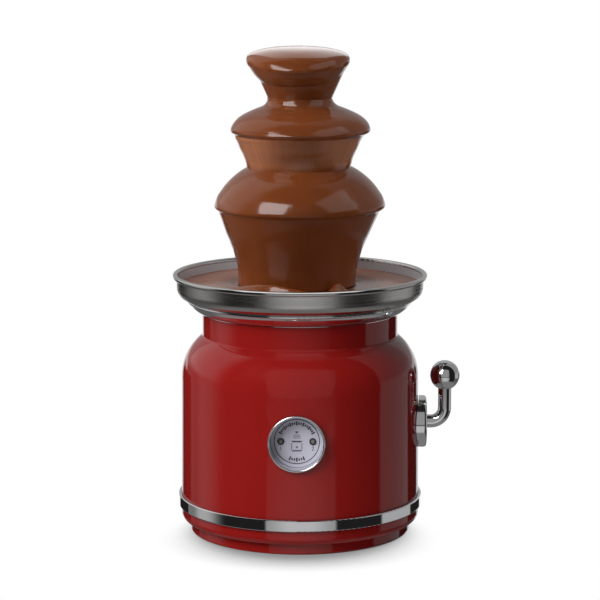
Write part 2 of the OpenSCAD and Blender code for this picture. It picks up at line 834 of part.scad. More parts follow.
// Nut that holds the switch to the wall
module switch_nut() {
    color(steel) to_right() translate([0, 0, lever_wall + seat_gap]) difference() {
        cylinder(r = switch_nut_r, h = switch_bush_end - lever_wall - 0.5, $fn = 6);
        translate([0, 0, -past]) cylinder(r = switch_bush_r + thread_gap, h = switch_bush_end);
    }
}

// Chrome disc round the lever, hollowed to the wall
module lever_escutcheon() {
    back = lever_wall - 4;
    depth = lever_face - back;
    color(chrome) difference() {
        to_right() translate([0, 0, back]) rotate_extrude() {
            square([escutcheon_r - escutcheon_edge_r, depth]);
            square([escutcheon_r, depth - escutcheon_edge_r]);
            translate([escutcheon_r - escutcheon_edge_r, depth - escutcheon_edge_r])
                circle(escutcheon_edge_r);
        }
        wall_cutter(lever_z, escutcheon_r);
        to_right() {
            rod(switch_nut_r + 1, back - past, switch_bush_end + 0.5);
            rod(arm_r + move_gap, back, lever_face + past);
        }
    }
}

// Chrome ring round the gauge: a lip hollowed to the wall and a barrel that holds the dial
module gauge_bezel() {
    depth = bezel_front - barrel_back;
    round_r = bezel_w / 2;
    color(chrome) difference() {
        to_front() translate([0, 0, barrel_back]) rotate_extrude() {
            translate([barrel_in, 0]) square([bezel_w, depth - round_r]);
            translate([bezel_r - round_r, depth - round_r]) circle(round_r);
        }
        difference() {
            wall_cutter(gauge_z, bezel_r);
            to_front() rod(barrel_r, 0, bezel_front + past);
        }
    }
}

// Pale dial with the holes for the two lamps
module dial_plate() {
    color(pale) to_front() difference() {
        rod(dial_r, dial_back, dial_front);
        for (x = [-lamp_offset, lamp_offset]) translate([x, 0, 0])
            rod(lamp_r + seat_gap, dial_back - past, dial_front + past);
    }
}

// Housing behind the dial that holds the lamps
module lamp_housing() {
    color(black) to_front() difference() {
        rod(lamp_housing_r, dial_back - lamp_housing_d, dial_back);
        rod(lamp_housing_r - lamp_housing_t, dial_back - lamp_housing_d - past, dial_back - lamp_housing_t);
        for (x = [-lamp_offset, lamp_offset]) translate([x, 0, 0])
            rod(lamp_r + seat_gap, dial_back - lamp_housing_d, dial_back + past);
    }
}

// Indicator lamp with a domed lens and a collar behind the dial, its axis to the front
module lamp(x) {
    dome = 0.9;
    back = dial_back - 8;
    lens_r = sphere_r(dome);
    to_front() translate([x, 0, 0]) rotate_extrude() {
        translate([0, back]) square([lamp_r, dial_front - back]);
        translate([0, back]) square([lamp_r + 1, 8 - lamp_housing_t - seat_gap]);
        intersection() {
            translate([0, dial_front + dome - lens_r]) circle(lens_r);
            translate([0, back]) square([lamp_r, dial_front + dome - back]);
        }
    }
}

// Radius of the lens whose dome is that high
function sphere_r(dome) = (pow(lamp_r, 2) + pow(dome, 2)) / (2 * dome);

// Lamp that shows the heater is on
module heat_lamp() {
    color(dark_steel) lamp(-lamp_offset);
}

// Lamp that shows the motor is on
module flow_lamp() {
    color(dark_steel) lamp(lamp_offset);
}

// Grommet of the mains lead at the back of the housing
module cord_grommet() {
    inner = sqrt(pow(grommet_wall - shell_t, 2) - pow(grommet_r, 2)) - seat_gap;
    outer = grommet_wall + seat_gap;
    color(rubber) to_back() difference() {
        union() {
            rod(grommet_neck_r, inner - past, outer + past);
            rod(grommet_r, inner - grommet_flange_t, inner);
            translate([0, 0, outer]) cylinder(r1 = grommet_r, r2 = grommet_r - 1.5, h = grommet_flange_t);
        }
        rod(cord_r, inner - grommet_flange_t - past, outer + grommet_flange_t + past);
    }
}

// Terminal block of the leads, on the bottom cover
module terminal_block() {
    block = [34, 15, 11];
    ways = 3;
    pitch = block[0] / ways;
    color(pale) translate([-block[0] / 2, grommet_wall / 2, ledge_z]) difference() {
        cube(block);
        for (i = [0 : ways - 1]) translate([pitch * (i + 0.5), 0, block[2] / 2]) {
            translate([0, -past, 0]) rotate([-90, 0, 0]) cylinder(r = 2, h = block[1] + 2 * past);
            translate([0, block[1] / 2, 0]) cylinder(r = 2, h = block[2]);
        }
    }
}

// Melted chocolate in the bowl, left open under the tower
module chocolate_pool() {
    color(chocolate) rotate_extrude() difference() {
        intersection() {
            bowl_outline(bowl_t + flow_gap);
            square([rim_r, pool_z]);
        }
        square([pool_in, pool_z + past]);
    }
}

// Motor shaft up through bush and seal, drilled for the cross pin
module drive_shaft() {
    tip = 1;
    color(steel) difference() {
        union() {
            rod(shaft_r, gearbox_z + shaft_seat + move_gap, shaft_top - tip);
            translate([0, 0, shaft_top - tip]) cylinder(r1 = shaft_r, r2 = shaft_r - tip, h = tip);
        }
        translate([0, 0, pin_z]) rotate([0, 90, 0])
            cylinder(r = pin_r + thread_gap, h = 4 * shaft_r, center = true);
    }
}

// Cross pin that drives the auger
module drive_pin() {
    color(dark_steel) translate([0, 0, pin_z]) rotate([0, 90, 0])
        cylinder(r = pin_r, h = 2 * pin_reach, center = true);
}

// Core of the auger, with the socket for the shaft and the slot for the pin
module auger_core() {
    slot_w = 2 * (pin_r + run_gap);
    color(tower_grey) difference() {
        union() {
            rod(core_r, auger_z, auger_top - core_r / 2);
            translate([0, 0, auger_top - core_r / 2]) cylinder(r1 = core_r, r2 = core_r / 2, h = core_r / 2);
        }
        rod(shaft_r + run_gap, auger_z - past, shaft_top + 1);
        translate([-core_r - past, -slot_w / 2, auger_z - past])
            cube([2 * (core_r + past), slot_w, pin_h + past]);
        translate([0, 0, pin_z]) rotate([0, 90, 0])
            cylinder(r = pin_r + run_gap, h = 2 * (core_r + past), center = true);
    }
}

// Helical flight of the auger
module auger_flight() {
    step = 12;
    sweep = 360 * flight_t / flight_pitch;
    z0 = auger_z + pin_h + 2 * pin_r + 1;
    z1 = auger_top - core_r / 2;
    turn = 360 * (z1 - z0) / flight_pitch;
    inner = (core_r + 0.1) / cos(step / 2);
    color(tower_grey) translate([0, 0, z0])
        linear_extrude(height = z1 - z0, twist = -turn, slices = ceil(turn / step), $fn = 16)
            polygon(concat(arc([0, 0], flight_r, 0, sweep, 4), arc([0, 0], inner, sweep, 0, 4)));
}

// Tube of the tower, with inlet windows, locating lugs and the ledge of the lowest tier
module tower_tube() {
    ledge_h = 2;
    color(tower_grey) difference() {
        union() {
            rod(tube_r, tower_z, cup_foot_z);
            rod(sleeve_r - 0.2, lower_seat_z - ledge_h, lower_seat_z);
            around(stud_count, stud_ring, 90) {
                rod(lug_r, tower_z, tower_z + lug_t);
                translate([-stud_ring + tube_in + tube_t / 2, -lug_r, tower_z])
                    cube([stud_ring - tube_in - tube_t / 2, 2 * lug_r, lug_t]);
            }
        }
        rod(tube_in, tower_z - past, cup_foot_z + past);
        around(stud_count, stud_ring, 90) rod(stud_r + move_gap, tower_z - past, tower_z + lug_t + past);
        around(window_count, 0, 45) inlet_window();
    }
}

// Arched opening in the foot of the tube
module inlet_window() {
    translate([tube_in / 2, -window_w / 2, tower_z + lug_t + past]) cube([tube_r, window_w, window_h]);
    translate([tube_in / 2, 0, tower_z + lug_t + past + window_h])
        rotate([0, 90, 0]) cylinder(r = window_w / 2, h = tube_r);
}

// Flared cup at the top of the tower, on the sleeve of the tier below
module crown_cup() {
    flare_h = cup_rim_z - cup_foot_z;
    color(tower_grey) rotate_extrude() {
        translate([sleeve_in, middle_hub_z + sleeve_drop])
            square([tier_t, cup_foot_z - middle_hub_z - sleeve_drop]);
        polygon([
            [tube_in, cup_foot_z], [sleeve_r, cup_foot_z], [cup_rim_r, cup_foot_z + flare_h],
            [cup_rim_r - tier_t, cup_foot_z + flare_h], [tube_in, cup_foot_z + tier_t]
        ]);
    }
}

// Half section of a domed tier with its sleeve between two heights
module tier_outline(c, plate_r, edge_a, sleeve) {
    hub_a = dome_angle(plate_r - tier_t, c, sleeve_in + tier_t / 2);
    polygon(concat(
        arc(c, plate_r, edge_a, dome_angle(plate_r, c, sleeve_in + tier_t / 2)),
        arc(c, plate_r - tier_t, hub_a, edge_a)
    ));
    translate([sleeve_in, sleeve[0]]) square([tier_t, sleeve[1] - sleeve[0]]);
}

// Middle tier, standing on the sleeve of the lower one
module middle_tier() {
    sleeve = [middle_hub_z - sleeve_drop, middle_hub_z + sleeve_drop];
    color(tower_grey) rotate_extrude() tier_outline(middle_c, middle_plate_r, middle_edge_a, sleeve);
}

// Lower tier, standing on the ledge of the tube
module lower_tier() {
    sleeve = [lower_seat_z, middle_hub_z - sleeve_drop - seat_gap];
    color(tower_grey) rotate_extrude() tier_outline(lower_c, lower_plate_r, lower_edge_a, sleeve);
}

// Half section of the chocolate on a tier: film over the dome, round lip, falling curtain
module flow_outline(c, dome_r, edge_a, lip, lip_r, foot) {
    step = 1.2;
    lip_c = lip - [lip_r, 0];
    hang = lip_c - [step, lip_r];
    inner_r = dome_r - film_t + flow_gap;
    under_r = inner_r - tier_t - 2 * flow_gap;
    under_a = edge_a - 3;
    polygon(concat(
        arc(c, dome_r, dome_angle(dome_r, c, film_in), edge_a, 14),
        arc(lip_c, lip_r, edge_a - 8, -84, 12),
        [hang, foot, foot - [curtain_t, 0], hang + [-curtain_t, 0.6]],
        [c + under_r * [cos(under_a), sin(under_a)]],
        arc(c, inner_r, under_a, dome_angle(inner_r, c, film_in), 14)
    ));
}

// Chocolate over the middle tier
module middle_chocolate() {
    color(chocolate) rotate_extrude() flow_outline(middle_c, middle_dome_r, middle_edge_a,
        [middle_r, middle_lip_z], middle_lip_r, [middle_foot_r, middle_land_z]);
}

// Chocolate over the lower tier, down to the pool
module lower_chocolate() {
    color(chocolate) rotate_extrude() flow_outline(lower_c, lower_dome_r, lower_edge_a,
        [lower_r, lower_lip_z], lower_lip_r, [lower_foot_r, pool_z + flow_gap]);
}

// Chocolate that wells up in the crown and runs down outside its cup
module crown_chocolate() {
    power = 2.6;
    steps = 16;
    mound = [for (i = [0 : steps]) let (a = 90 * i / steps)
        [crown_r * pow(sin(a), 2 / power), crown_lip_z + mound_h * pow(cos(a), 2 / power)]];
    under_z = cup_foot_z + flow_gap;
    color(chocolate) rotate_extrude() polygon(concat(
        mound,
        [[crown_r - 0.6, crown_lip_z - 4.5], [crown_r - 2.4, crown_lip_z - 8.5]],
        [[neck_film_r + 1.6, cup_foot_z - 1], [neck_film_r, cup_foot_z - 6]],
        [[neck_film_r, crown_land_z], [film_in, crown_land_z], [film_in, under_z - 0.6]],
        [[cup_rim_r + flow_gap, cup_rim_z], [cup_rim_r + flow_gap, cup_rim_z + flow_gap]],
        [[0, cup_rim_z + flow_gap]]
    ));
}

// Spindle of the lever in the switch
module lever_spindle() {
    color(steel) to_right() rod(spindle_r, spindle_back, arm_start);
}

// Bent chrome rod of the lever, its bend swollen by a hair so that the straight ends lie inside it
module lever_arm() {
    hair = 0.02;
    lap = 0.4;
    color(chrome) {
        to_right() rod(arm_r, arm_start, arm_x - bend_r + lap);
        translate([arm_x - bend_r, 0, lever_z + bend_r]) rotate([90, 0, 0]) rotate(270)
            rotate_extrude(angle = 90) translate([bend_r, 0]) circle(arm_r + hair);
        translate([arm_x, 0, 0]) rod(arm_r, lever_z + bend_r - lap, lever_z + arm_h - ball_r / 2);
    }
}

// Ball of the lever, bored for the rod
module lever_ball() {
    color(chrome) translate([arm_x, 0, lever_z + arm_h]) difference() {
        sphere(ball_r);
        translate([0, 0, -2 * ball_r]) cylinder(r = arm_r + thread_gap, h = 1.5 * ball_r);
    }
}

foot_ring();
bottom_cover();
cover_screws();
plinth();
outer_shell();
trim_band();
neck_collar();
bowl();
clamp_screws();
chassis_pan();
bearing_bush();
shaft_seal();
heater_ring();
heater_clamp();
clamp_nuts();
thermostat();
thermal_fuse();
gearbox_case();
motor_can();
motor_screws();
rotary_switch();
switch_nut();
lever_escutcheon();
gauge_bezel();
dial_plate();
lamp_housing();
heat_lamp();
flow_lamp();
cord_grommet();
terminal_block();
chocolate_pool();
drive_shaft();
drive_pin();
auger_core();
auger_flight();
tower_tube();
crown_cup();
middle_tier();
lower_tier();
crown_chocolate();
middle_chocolate();
lower_chocolate();
lever_spindle();
lever_arm();
lever_ball();
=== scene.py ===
"""Looks of a table-top chocolate fountain, dressed over its CAD frame.

Size fields are millimetres in the CAD part's frame: +Z up the tower, -Y to the front with the dial,
+X to the right with the lever. Meshes and nodes are in metres, so sizes are taken times MM.
"""

from __future__ import annotations

import json
import logging
import math
from dataclasses import dataclass
from enum import Enum
from typing import Iterable, Mapping, Sequence, Union

import bmesh
import bpy
from mathutils import Matrix, Vector


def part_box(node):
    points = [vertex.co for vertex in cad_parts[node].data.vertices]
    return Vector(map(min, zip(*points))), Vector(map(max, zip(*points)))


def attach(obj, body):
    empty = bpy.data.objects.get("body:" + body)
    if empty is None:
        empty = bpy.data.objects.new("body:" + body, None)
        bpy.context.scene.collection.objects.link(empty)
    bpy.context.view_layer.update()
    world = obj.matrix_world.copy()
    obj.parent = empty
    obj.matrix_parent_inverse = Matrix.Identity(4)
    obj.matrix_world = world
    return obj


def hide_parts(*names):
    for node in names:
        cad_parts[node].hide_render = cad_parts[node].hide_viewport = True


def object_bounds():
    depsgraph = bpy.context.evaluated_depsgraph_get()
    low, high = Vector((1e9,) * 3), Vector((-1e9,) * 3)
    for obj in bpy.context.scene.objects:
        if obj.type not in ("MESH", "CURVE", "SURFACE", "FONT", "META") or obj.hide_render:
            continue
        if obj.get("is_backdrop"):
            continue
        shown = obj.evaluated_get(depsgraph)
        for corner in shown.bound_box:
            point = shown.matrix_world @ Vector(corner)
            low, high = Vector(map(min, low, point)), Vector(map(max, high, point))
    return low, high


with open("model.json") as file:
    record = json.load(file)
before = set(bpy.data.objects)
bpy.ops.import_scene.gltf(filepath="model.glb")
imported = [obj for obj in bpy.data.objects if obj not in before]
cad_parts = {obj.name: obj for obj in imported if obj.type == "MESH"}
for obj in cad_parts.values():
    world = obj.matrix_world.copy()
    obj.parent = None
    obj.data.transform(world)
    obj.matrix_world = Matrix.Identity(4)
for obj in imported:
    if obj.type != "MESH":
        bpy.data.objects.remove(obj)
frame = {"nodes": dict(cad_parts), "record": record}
CAD_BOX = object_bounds()

MM = 0.001
TINY = 1e-6
log = logging.getLogger("fountain")

Socket = bpy.types.NodeSocket
Tree = bpy.types.NodeTree
Material = bpy.types.Material
Piece = bpy.types.Object
Work = bmesh.types.BMesh
Colour = tuple[float, float, float]
Point = tuple[float, float]
Outline = tuple[Point, ...]
Feed = Union[float, int, bool, Sequence[float], Socket, Material, None]


class Body(Enum):
    """Bodies of the CAD part that new pieces ride on."""

    BASE = "base"
    TOWER = "tower"


class Slot(Enum):
    """Material slots of the record."""

    RED_PAINT = "red_paint"
    CHROME = "chrome"
    BOWL_STEEL = "bowl_steel"
    STEEL = "steel"
    PLATED_STEEL = "plated_steel"
    BRONZE = "bronze"
    RUBBER = "rubber"
    BLACK_PLASTIC = "black_plastic"
    DIAL_FACE = "dial_face"
    LAMP_LENS = "lamp_lens"
    PALE_PLASTIC = "pale_plastic"
    TOWER_PLASTIC = "tower_plastic"
    CHOCOLATE = "chocolate"


class Kind(Enum):
    """Socket kinds of node groups."""

    VALUE = "NodeSocketFloat"
    COUNT = "NodeSocketInt"
    COLOUR = "NodeSocketColor"
    VECTOR = "NodeSocketVector"
    GEOMETRY = "NodeSocketGeometry"
    MATERIAL = "NodeSocketMaterial"


class NodeSheet:
    """Short calls for laying out the nodes of one tree."""

    def __init__(self, tree: Tree) -> None:
        """Take over a tree and empty it."""
        self.tree = tree
        tree.nodes.clear()

    def feed(self, socket: Socket, value: Feed) -> None:
        """Link a socket to another one, or set its value.

        Args:
            socket: The input to feed.
            value: An output socket or a plain value.
        """
        if isinstance(value, Socket):
            self.tree.links.new(value, socket)
        else:
            socket.default_value = value

    def add(
        self, kind: str, feeds: Mapping[Union[str, int], Feed] | None = None, **settings: object
    ) -> bpy.types.Node:
        """Add a node.

        Args:
            kind: The node's type name.
            feeds: Values or sockets for its inputs, by name or place.
            settings: Properties of the node.

        Returns:
            The new node.
        """
        node = self.tree.nodes.new(kind)
        for key, value in settings.items():
            setattr(node, key, value)
        for key, value in (feeds or {}).items():
            self.feed(node.inputs[key], value)
        return node

    def maths(self, operation: str, *terms: Feed, clamp: bool = False) -> Socket:
        """Add a Math node.

        Args:
            operation: Its operation.
            terms: Its values or sockets, in order.
            clamp: Whether the result is held between 0 and 1.

        Returns:
            The result's socket.
        """
        feeds = dict(enumerate(terms))
        return self.add("ShaderNodeMath", feeds, operation=operation, use_clamp=clamp).outputs[0]

    def times(self, first: Feed, second: Feed) -> Socket:
        """Multiply two values."""
        return self.maths("MULTIPLY", first, second)

    def remap(
        self, value: Feed, low: float, high: float, to_low: Feed = 0.0, to_high: Feed = 1.0
    ) -> Socket:
        """Map a value smoothly from one range to another, held at both ends.

        Args:
            value: The value to map.
            low: Start of its range.
            high: End of its range.
            to_low: Result at the start.
            to_high: Result at the end.

        Returns:
            The result's socket.
        """
        feeds = {0: value, 1: low, 2: high, 3: to_low, 4: to_high}
        return self.add("ShaderNodeMapRange", feeds, interpolation_type="SMOOTHSTEP").outputs[0]

    def pick(self, mask: Feed, first: Feed, second: Feed) -> Socket:
        """Give the first value where a mask is 0 and the second where it is 1."""
        return self.remap(mask, 0.0, 1.0, first, second)

    def blend(self, factor: Feed, first: Feed, second: Feed) -> Socket:
        """Mix two colours by the share of the second."""
        return self.add("ShaderNodeMix", {0: factor, 6: first, 7: second}, data_type="RGBA").outputs[2]

    def noise(self, place: Feed, scale: Feed, detail: float = 2.0) -> Socket:
        """Add a noise texture.

        Args:
            place: The point's coordinates.
            scale: Waves per metre, about.
            detail: Number of finer octaves.

        Returns:
            The socket of the noise, from 0 to 1.
        """
        feeds = {"Vector": place, "Scale": scale, "Detail": detail}
        return self.add("ShaderNodeTexNoise", feeds).outputs["Fac"]

    def split(self, vector: Feed) -> list[Socket]:
        """Give the three parts of a vector."""
        return list(self.add("ShaderNodeSeparateXYZ", {0: vector}).outputs)

    def join(self, x: Feed, y: Feed, z: Feed) -> Socket:
        """Make a vector of three parts."""
        return self.add("ShaderNodeCombineXYZ", {0: x, 1: y, 2: z}).outputs[0]

    def span(self, x: Feed, y: Feed) -> Socket:
        """Give the length of two parts together."""
        flat = self.join(x, y, 0.0)
        return self.add("ShaderNodeVectorMath", {0: flat}, operation="LENGTH").outputs["Value"]


class GroupSheet(NodeSheet):
    """A node group with named inputs and outputs."""

    def __init__(
        self,
        name: str,
        takes: Mapping[str, tuple[Kind, Feed]],
        gives: Mapping[str, Kind],
        family: str = "ShaderNodeTree",
    ) -> None:
        """Open a new group.

        Args:
            name: The group's name.
            takes: Its inputs with their kinds and first values.
            gives: Its outputs with their kinds.
            family: Type of the tree.
        """
        super().__init__(bpy.data.node_groups.new(name, family))
        for label, (kind, value) in takes.items():
            socket = self.tree.interface.new_socket(label, in_out="INPUT", socket_type=kind.value)
            if value is not None:
                socket.default_value = value
        for label, kind in gives.items():
            self.tree.interface.new_socket(label, in_out="OUTPUT", socket_type=kind.value)
        self.takes = self.add("NodeGroupInput").outputs
        self.gives = self.add("NodeGroupOutput").inputs


class GeometrySheet(GroupSheet):
    """A Geometry Nodes tree that ends in a plain mesh with one finish."""

    def __init__(self, name: str, takes: Mapping[str, tuple[Kind, Feed]]) -> None:
        """Open a new tree with an input for the finish after its own."""
        inputs = {**takes, "Finish": (Kind.MATERIAL, None)}
        super().__init__(name, inputs, {"Mesh": Kind.GEOMETRY}, "GeometryNodeTree")

    def end(self, geometry: Feed) -> Tree:
        """Realize the geometry, give it its finish and hand it out.

        Args:
            geometry: The last geometry socket.

        Returns:
            The finished tree.
        """
        plain = self.add("GeometryNodeRealizeInstances", {0: geometry}).outputs[0]
        feeds = {"Geometry": plain, "Material": self.takes["Finish"]}
        self.feed(self.gives[0], self.add("GeometryNodeSetMaterial", feeds).outputs[0])
        return self.tree


class Effects:
    """Surface effects that several finishes share, each a shader node group."""

    CLOUD_RANGE = (0.3, 0.7)
    GLOSS_DETAIL = 4.0
    TONE_DETAIL = 3.0
    GRAIN_DETAIL = 1.5
    HAIR_TILT = (0.0, 0.2, 0.1)
    HAIR_STRETCH = (1.0, 1.0, 26.0)
    HAIR_DETAIL = 3.0
    HAIR_RANGE = (0.58, 0.68)
    WIPED_SCALE = 35.0
    WIPED_RANGE = (0.42, 0.62)
    TURNED_WANDER = 1.6
    TURNED_DETAIL = 3.0
    TURNED_RANGE = (0.35, 0.65)

    def __init__(self) -> None:
        """Build every group once."""
        self.uneven_gloss = self._uneven_gloss()
        self.hairlines = self._hairlines()
        self.tone_drift = self._tone_drift()
        self.moulded_grain = self._moulded_grain()
        self.turned_lines = self._turned_lines()

    @staticmethod
    def _open(name: str, gives: Mapping[str, Kind], **takes: Feed) -> GroupSheet:
        """Open a group that takes a place, and further values and colours.

        Args:
            name: The group's name.
            gives: Its outputs with their kinds.
            takes: First values of its further inputs.

        Returns:
            The group's sheet.
        """
        inputs = {"Vector": (Kind.VECTOR, None)}
        for label, value in takes.items():
            inputs[label] = (Kind.COLOUR if isinstance(value, tuple) else Kind.VALUE, value)
        return GroupSheet(name, inputs, gives)

    def _uneven_gloss(self) -> Tree:
        """Roughness that drifts between two values.

        Returns:
            The group's tree.
        """
        sheet = self._open("uneven_gloss", {"Roughness": Kind.VALUE}, Scale=40.0, Low=0.1, High=0.2)
        cloud = sheet.noise(sheet.takes["Vector"], sheet.takes["Scale"], self.GLOSS_DETAIL)
        rough = sheet.remap(cloud, *self.CLOUD_RANGE, sheet.takes["Low"], sheet.takes["High"])
        sheet.feed(sheet.gives[0], rough)
        return sheet.tree

    def _hairlines(self) -> Tree:
        """Fine wiping marks, thin and mostly level.

        Returns:
            The group's tree.
        """
        sheet = self._open("hairlines", {"Mask": Kind.VALUE}, Scale=60.0, Amount=0.3)
        feeds = {0: sheet.takes["Vector"], 2: self.HAIR_TILT, 3: self.HAIR_STRETCH}
        stretch = sheet.add("ShaderNodeMapping", feeds).outputs[0]
        lines = sheet.noise(stretch, sheet.takes["Scale"], self.HAIR_DETAIL)
        wiped = sheet.remap(sheet.noise(sheet.takes["Vector"], self.WIPED_SCALE), *self.WIPED_RANGE)
        mask = sheet.times(sheet.remap(lines, *self.HAIR_RANGE), wiped)
        sheet.feed(sheet.gives[0], sheet.maths("MULTIPLY", mask, sheet.takes["Amount"], clamp=True))
        return sheet.tree

    def _tone_drift(self) -> Tree:
        """Colour that drifts slowly between two tones.

        Returns:
            The group's tree.
        """
        tones = {"First": (0.5, 0.5, 0.5, 1.0), "Second": (0.6, 0.6, 0.6, 1.0)}
        sheet = self._open("tone_drift", {"Colour": Kind.COLOUR}, Scale=12.0, **tones)
        cloud = sheet.noise(sheet.takes["Vector"], sheet.takes["Scale"], self.TONE_DETAIL)
        share = sheet.remap(cloud, *self.CLOUD_RANGE)
        sheet.feed(sheet.gives[0], sheet.blend(share, sheet.takes["First"], sheet.takes["Second"]))
        return sheet.tree

    def _moulded_grain(self) -> Tree:
        """Fine even grain of a mould, a casting or a sprayed coat.

        Returns:
            The group's tree.
        """
        sheet = self._open("moulded_grain", {"Height": Kind.VALUE}, Scale=900.0)
        grain = sheet.noise(sheet.takes["Vector"], sheet.takes["Scale"], self.GRAIN_DETAIL)
        sheet.feed(sheet.gives[0], grain)
        return sheet.tree

    def _turned_lines(self) -> Tree:
        """Fine rings round the upright axis, as brushing on a lathe leaves them.

        Returns:
            The group's tree.
        """
        gives = {"Height": Kind.VALUE, "Mask": Kind.VALUE}
        sheet = self._open("turned_lines", gives, Lines=2200.0)
        x, y, z = sheet.split(sheet.takes["Vector"])
        along = sheet.times(sheet.maths("ADD", sheet.span(x, y), z), sheet.takes["Lines"])
        turn = sheet.times(sheet.maths("ARCTAN2", y, x), self.TURNED_WANDER)
        lines = sheet.noise(sheet.join(along, turn, 0.0), 1.0, self.TURNED_DETAIL)
        sheet.feed(sheet.gives["Height"], lines)
        sheet.feed(sheet.gives["Mask"], sheet.remap(lines, *self.TURNED_RANGE))
        return sheet.tree


class MaterialSheet(NodeSheet):
    """A material with a Principled shader, and the effects placed round it."""

    def __init__(self, name: str, effects: Effects) -> None:
        """Open a material.

        Args:
            name: The material's name.
            effects: The shared effects.
        """
        self.material = bpy.data.materials.new(name)
        self.material.use_nodes = True
        super().__init__(self.material.node_tree)
        self.effects = effects
        self.shader = self.add("ShaderNodeBsdfPrincipled")
        self.add("ShaderNodeOutputMaterial", {"Surface": self.shader.outputs[0]})
        self.place = self.add("ShaderNodeTexCoord").outputs["Object"]

    def lead(self, name: str, value: Feed) -> None:
        """Feed one of the shader's sockets."""
        self.feed(self.shader.inputs[name], value)

    def effect(self, tree: Tree, **feeds: Feed) -> bpy.types.Node:
        """Place a shared effect on Object coordinates, with values for its named inputs."""
        return self.add("ShaderNodeGroup", {"Vector": self.place, **feeds}, node_tree=tree)

    def gloss(self, ends: Point, scale: float) -> Socket:
        """Feed the roughness from uneven gloss.

        Args:
            ends: The roughness that it drifts between.
            scale: Scale of the drift.

        Returns:
            The roughness socket.
        """
        low, high = ends
        rough = self.effect(self.effects.uneven_gloss, Scale=scale, Low=low, High=high).outputs[0]
        self.lead("Roughness", rough)
        return rough

    def tones(self, first: Colour, second: Colour, scale: float) -> Socket:
        """Feed the base colour from two drifting tones.

        Args:
            first: One tone.
            second: The other tone.
            scale: Scale of the drift.

        Returns:
            The colour socket.
        """
        feeds = {"Scale": scale, "First": (*first, 1.0), "Second": (*second, 1.0)}
        tone = self.effect(self.effects.tone_drift, **feeds).outputs[0]
        self.lead("Base Color", tone)
        return tone

    def tint(self, mask: Feed, tone: Feed, colour: Colour) -> None:
        """Feed the base colour from a tone that gives way to a colour where the mask is 1."""
        self.lead("Base Color", self.blend(mask, tone, (*colour, 1.0)))

    def bump(self, height: Feed, depth: float) -> None:
        """Feed the normal from a height between 0 and 1 and its depth in millimetres."""
        feeds = {"Distance": depth * MM, "Height": height}
        self.lead("Normal", self.add("ShaderNodeBump", feeds).outputs[0])

    def grain(self, scale: float, depth: float) -> None:
        """Feed the normal from fine even grain of a depth in millimetres."""
        self.bump(self.effect(self.effects.moulded_grain, Scale=scale).outputs[0], depth)


@dataclass(frozen=True)
class Finish:
    """A named finish; each kind lays out its own nodes."""

    name: str

    def make(self, effects: Effects) -> Material:
        """Build the material.

        Args:
            effects: The shared effects.

        Returns:
            The material.
        """
        sheet = MaterialSheet(self.name, effects)
        self.lay(sheet)
        return sheet.material

    def lay(self, sheet: MaterialSheet) -> None:
        """Lay out the nodes on a material's sheet."""
        raise NotImplementedError


@dataclass(frozen=True)
class Enamel(Finish):
    """Glossy sprayed enamel with a faint orange peel."""

    deep: Colour
    light: Colour
    tone_scale: float = 9.0
    gloss: Point = (0.05, 0.085)
    gloss_scale: float = 25.0
    shine: float = 0.42
    peel: float = 0.012
    peel_scale: float = 420.0

    def lay(self, sheet: MaterialSheet) -> None:
        """Lay out the enamel.

        Args:
            sheet: The material to fill.
        """
        sheet.lead("Specular IOR Level", self.shine)
        sheet.tones(self.deep, self.light, self.tone_scale)
        sheet.gloss(self.gloss, self.gloss_scale)
        sheet.grain(self.peel_scale, self.peel)


@dataclass(frozen=True)
class BrightMetal(Finish):
    """Polished or plated metal with faint wiping marks."""

    colour: Colour
    second: Colour
    gloss: Point = (0.035, 0.06)
    marks: float = 0.06
    grain: float = 0.0
    tone_scale: float = 20.0
    gloss_scale: float = 40.0
    grain_scale: float = 700.0

    def lay(self, sheet: MaterialSheet) -> None:
        """Lay out the metal.

        Args:
            sheet: The material to fill.
        """
        sheet.lead("Metallic", 1.0)
        sheet.tones(self.colour, self.second, self.tone_scale)
        rough = sheet.gloss(self.gloss, self.gloss_scale)
        marks = sheet.effect(sheet.effects.hairlines, Amount=self.marks).outputs[0]
        sheet.lead("Roughness", sheet.maths("ADD", rough, marks))
        if self.grain:
            sheet.grain(self.grain_scale, self.grain)


@dataclass(frozen=True)
class SpunSteel(Finish):
    """Stainless sheet brushed round the axis, with a polished rim and lower edge and a satin inside.

    The rim and the edge are pairs of heights between which the polish sets in.
    """

    colour: Colour
    second: Colour
    rim: Point
    edge: Point
    inner_r: float
    inner_z: float
    tone_scale: float = 18.0
    brushed: Point = (0.22, 0.31)
    inside: Colour = (0.50, 0.515, 0.54)
    satin: float = 0.5
    satin_metal: float = 0.4
    polished: float = 0.1
    lines: float = 2600.0
    line_depth: float = 0.02
    stretch: float = 0.5

    def lay(self, sheet: MaterialSheet) -> None:
        """Lay out the steel.

        Args:
            sheet: The material to fill.
        """
        sheet.lead("Anisotropic", self.stretch)
        tone = sheet.tones(self.colour, self.second, self.tone_scale)
        lines = sheet.effect(sheet.effects.turned_lines, Lines=self.lines).outputs
        x, y, height = sheet.split(sheet.place)
        within = sheet.maths("LESS_THAN", sheet.span(x, y), self.inner_r * MM)
        inner = sheet.times(within, sheet.maths("GREATER_THAN", height, self.inner_z * MM))
        sheet.tint(inner, tone, self.inside)
        sheet.lead("Metallic", sheet.pick(inner, 1.0, self.satin_metal))
        rim, edge = (sheet.remap(height, low * MM, high * MM) for low, high in (self.rim, self.edge))
        polish = sheet.maths("MAXIMUM", rim, edge)
        brushed = sheet.pick(inner, sheet.pick(lines["Mask"], *self.brushed), self.satin)
        sheet.lead("Roughness", sheet.pick(polish, brushed, self.polished))
        dull = sheet.maths("SUBTRACT", 1.0, polish)
        sheet.bump(sheet.times(lines["Height"], dull), self.line_depth)


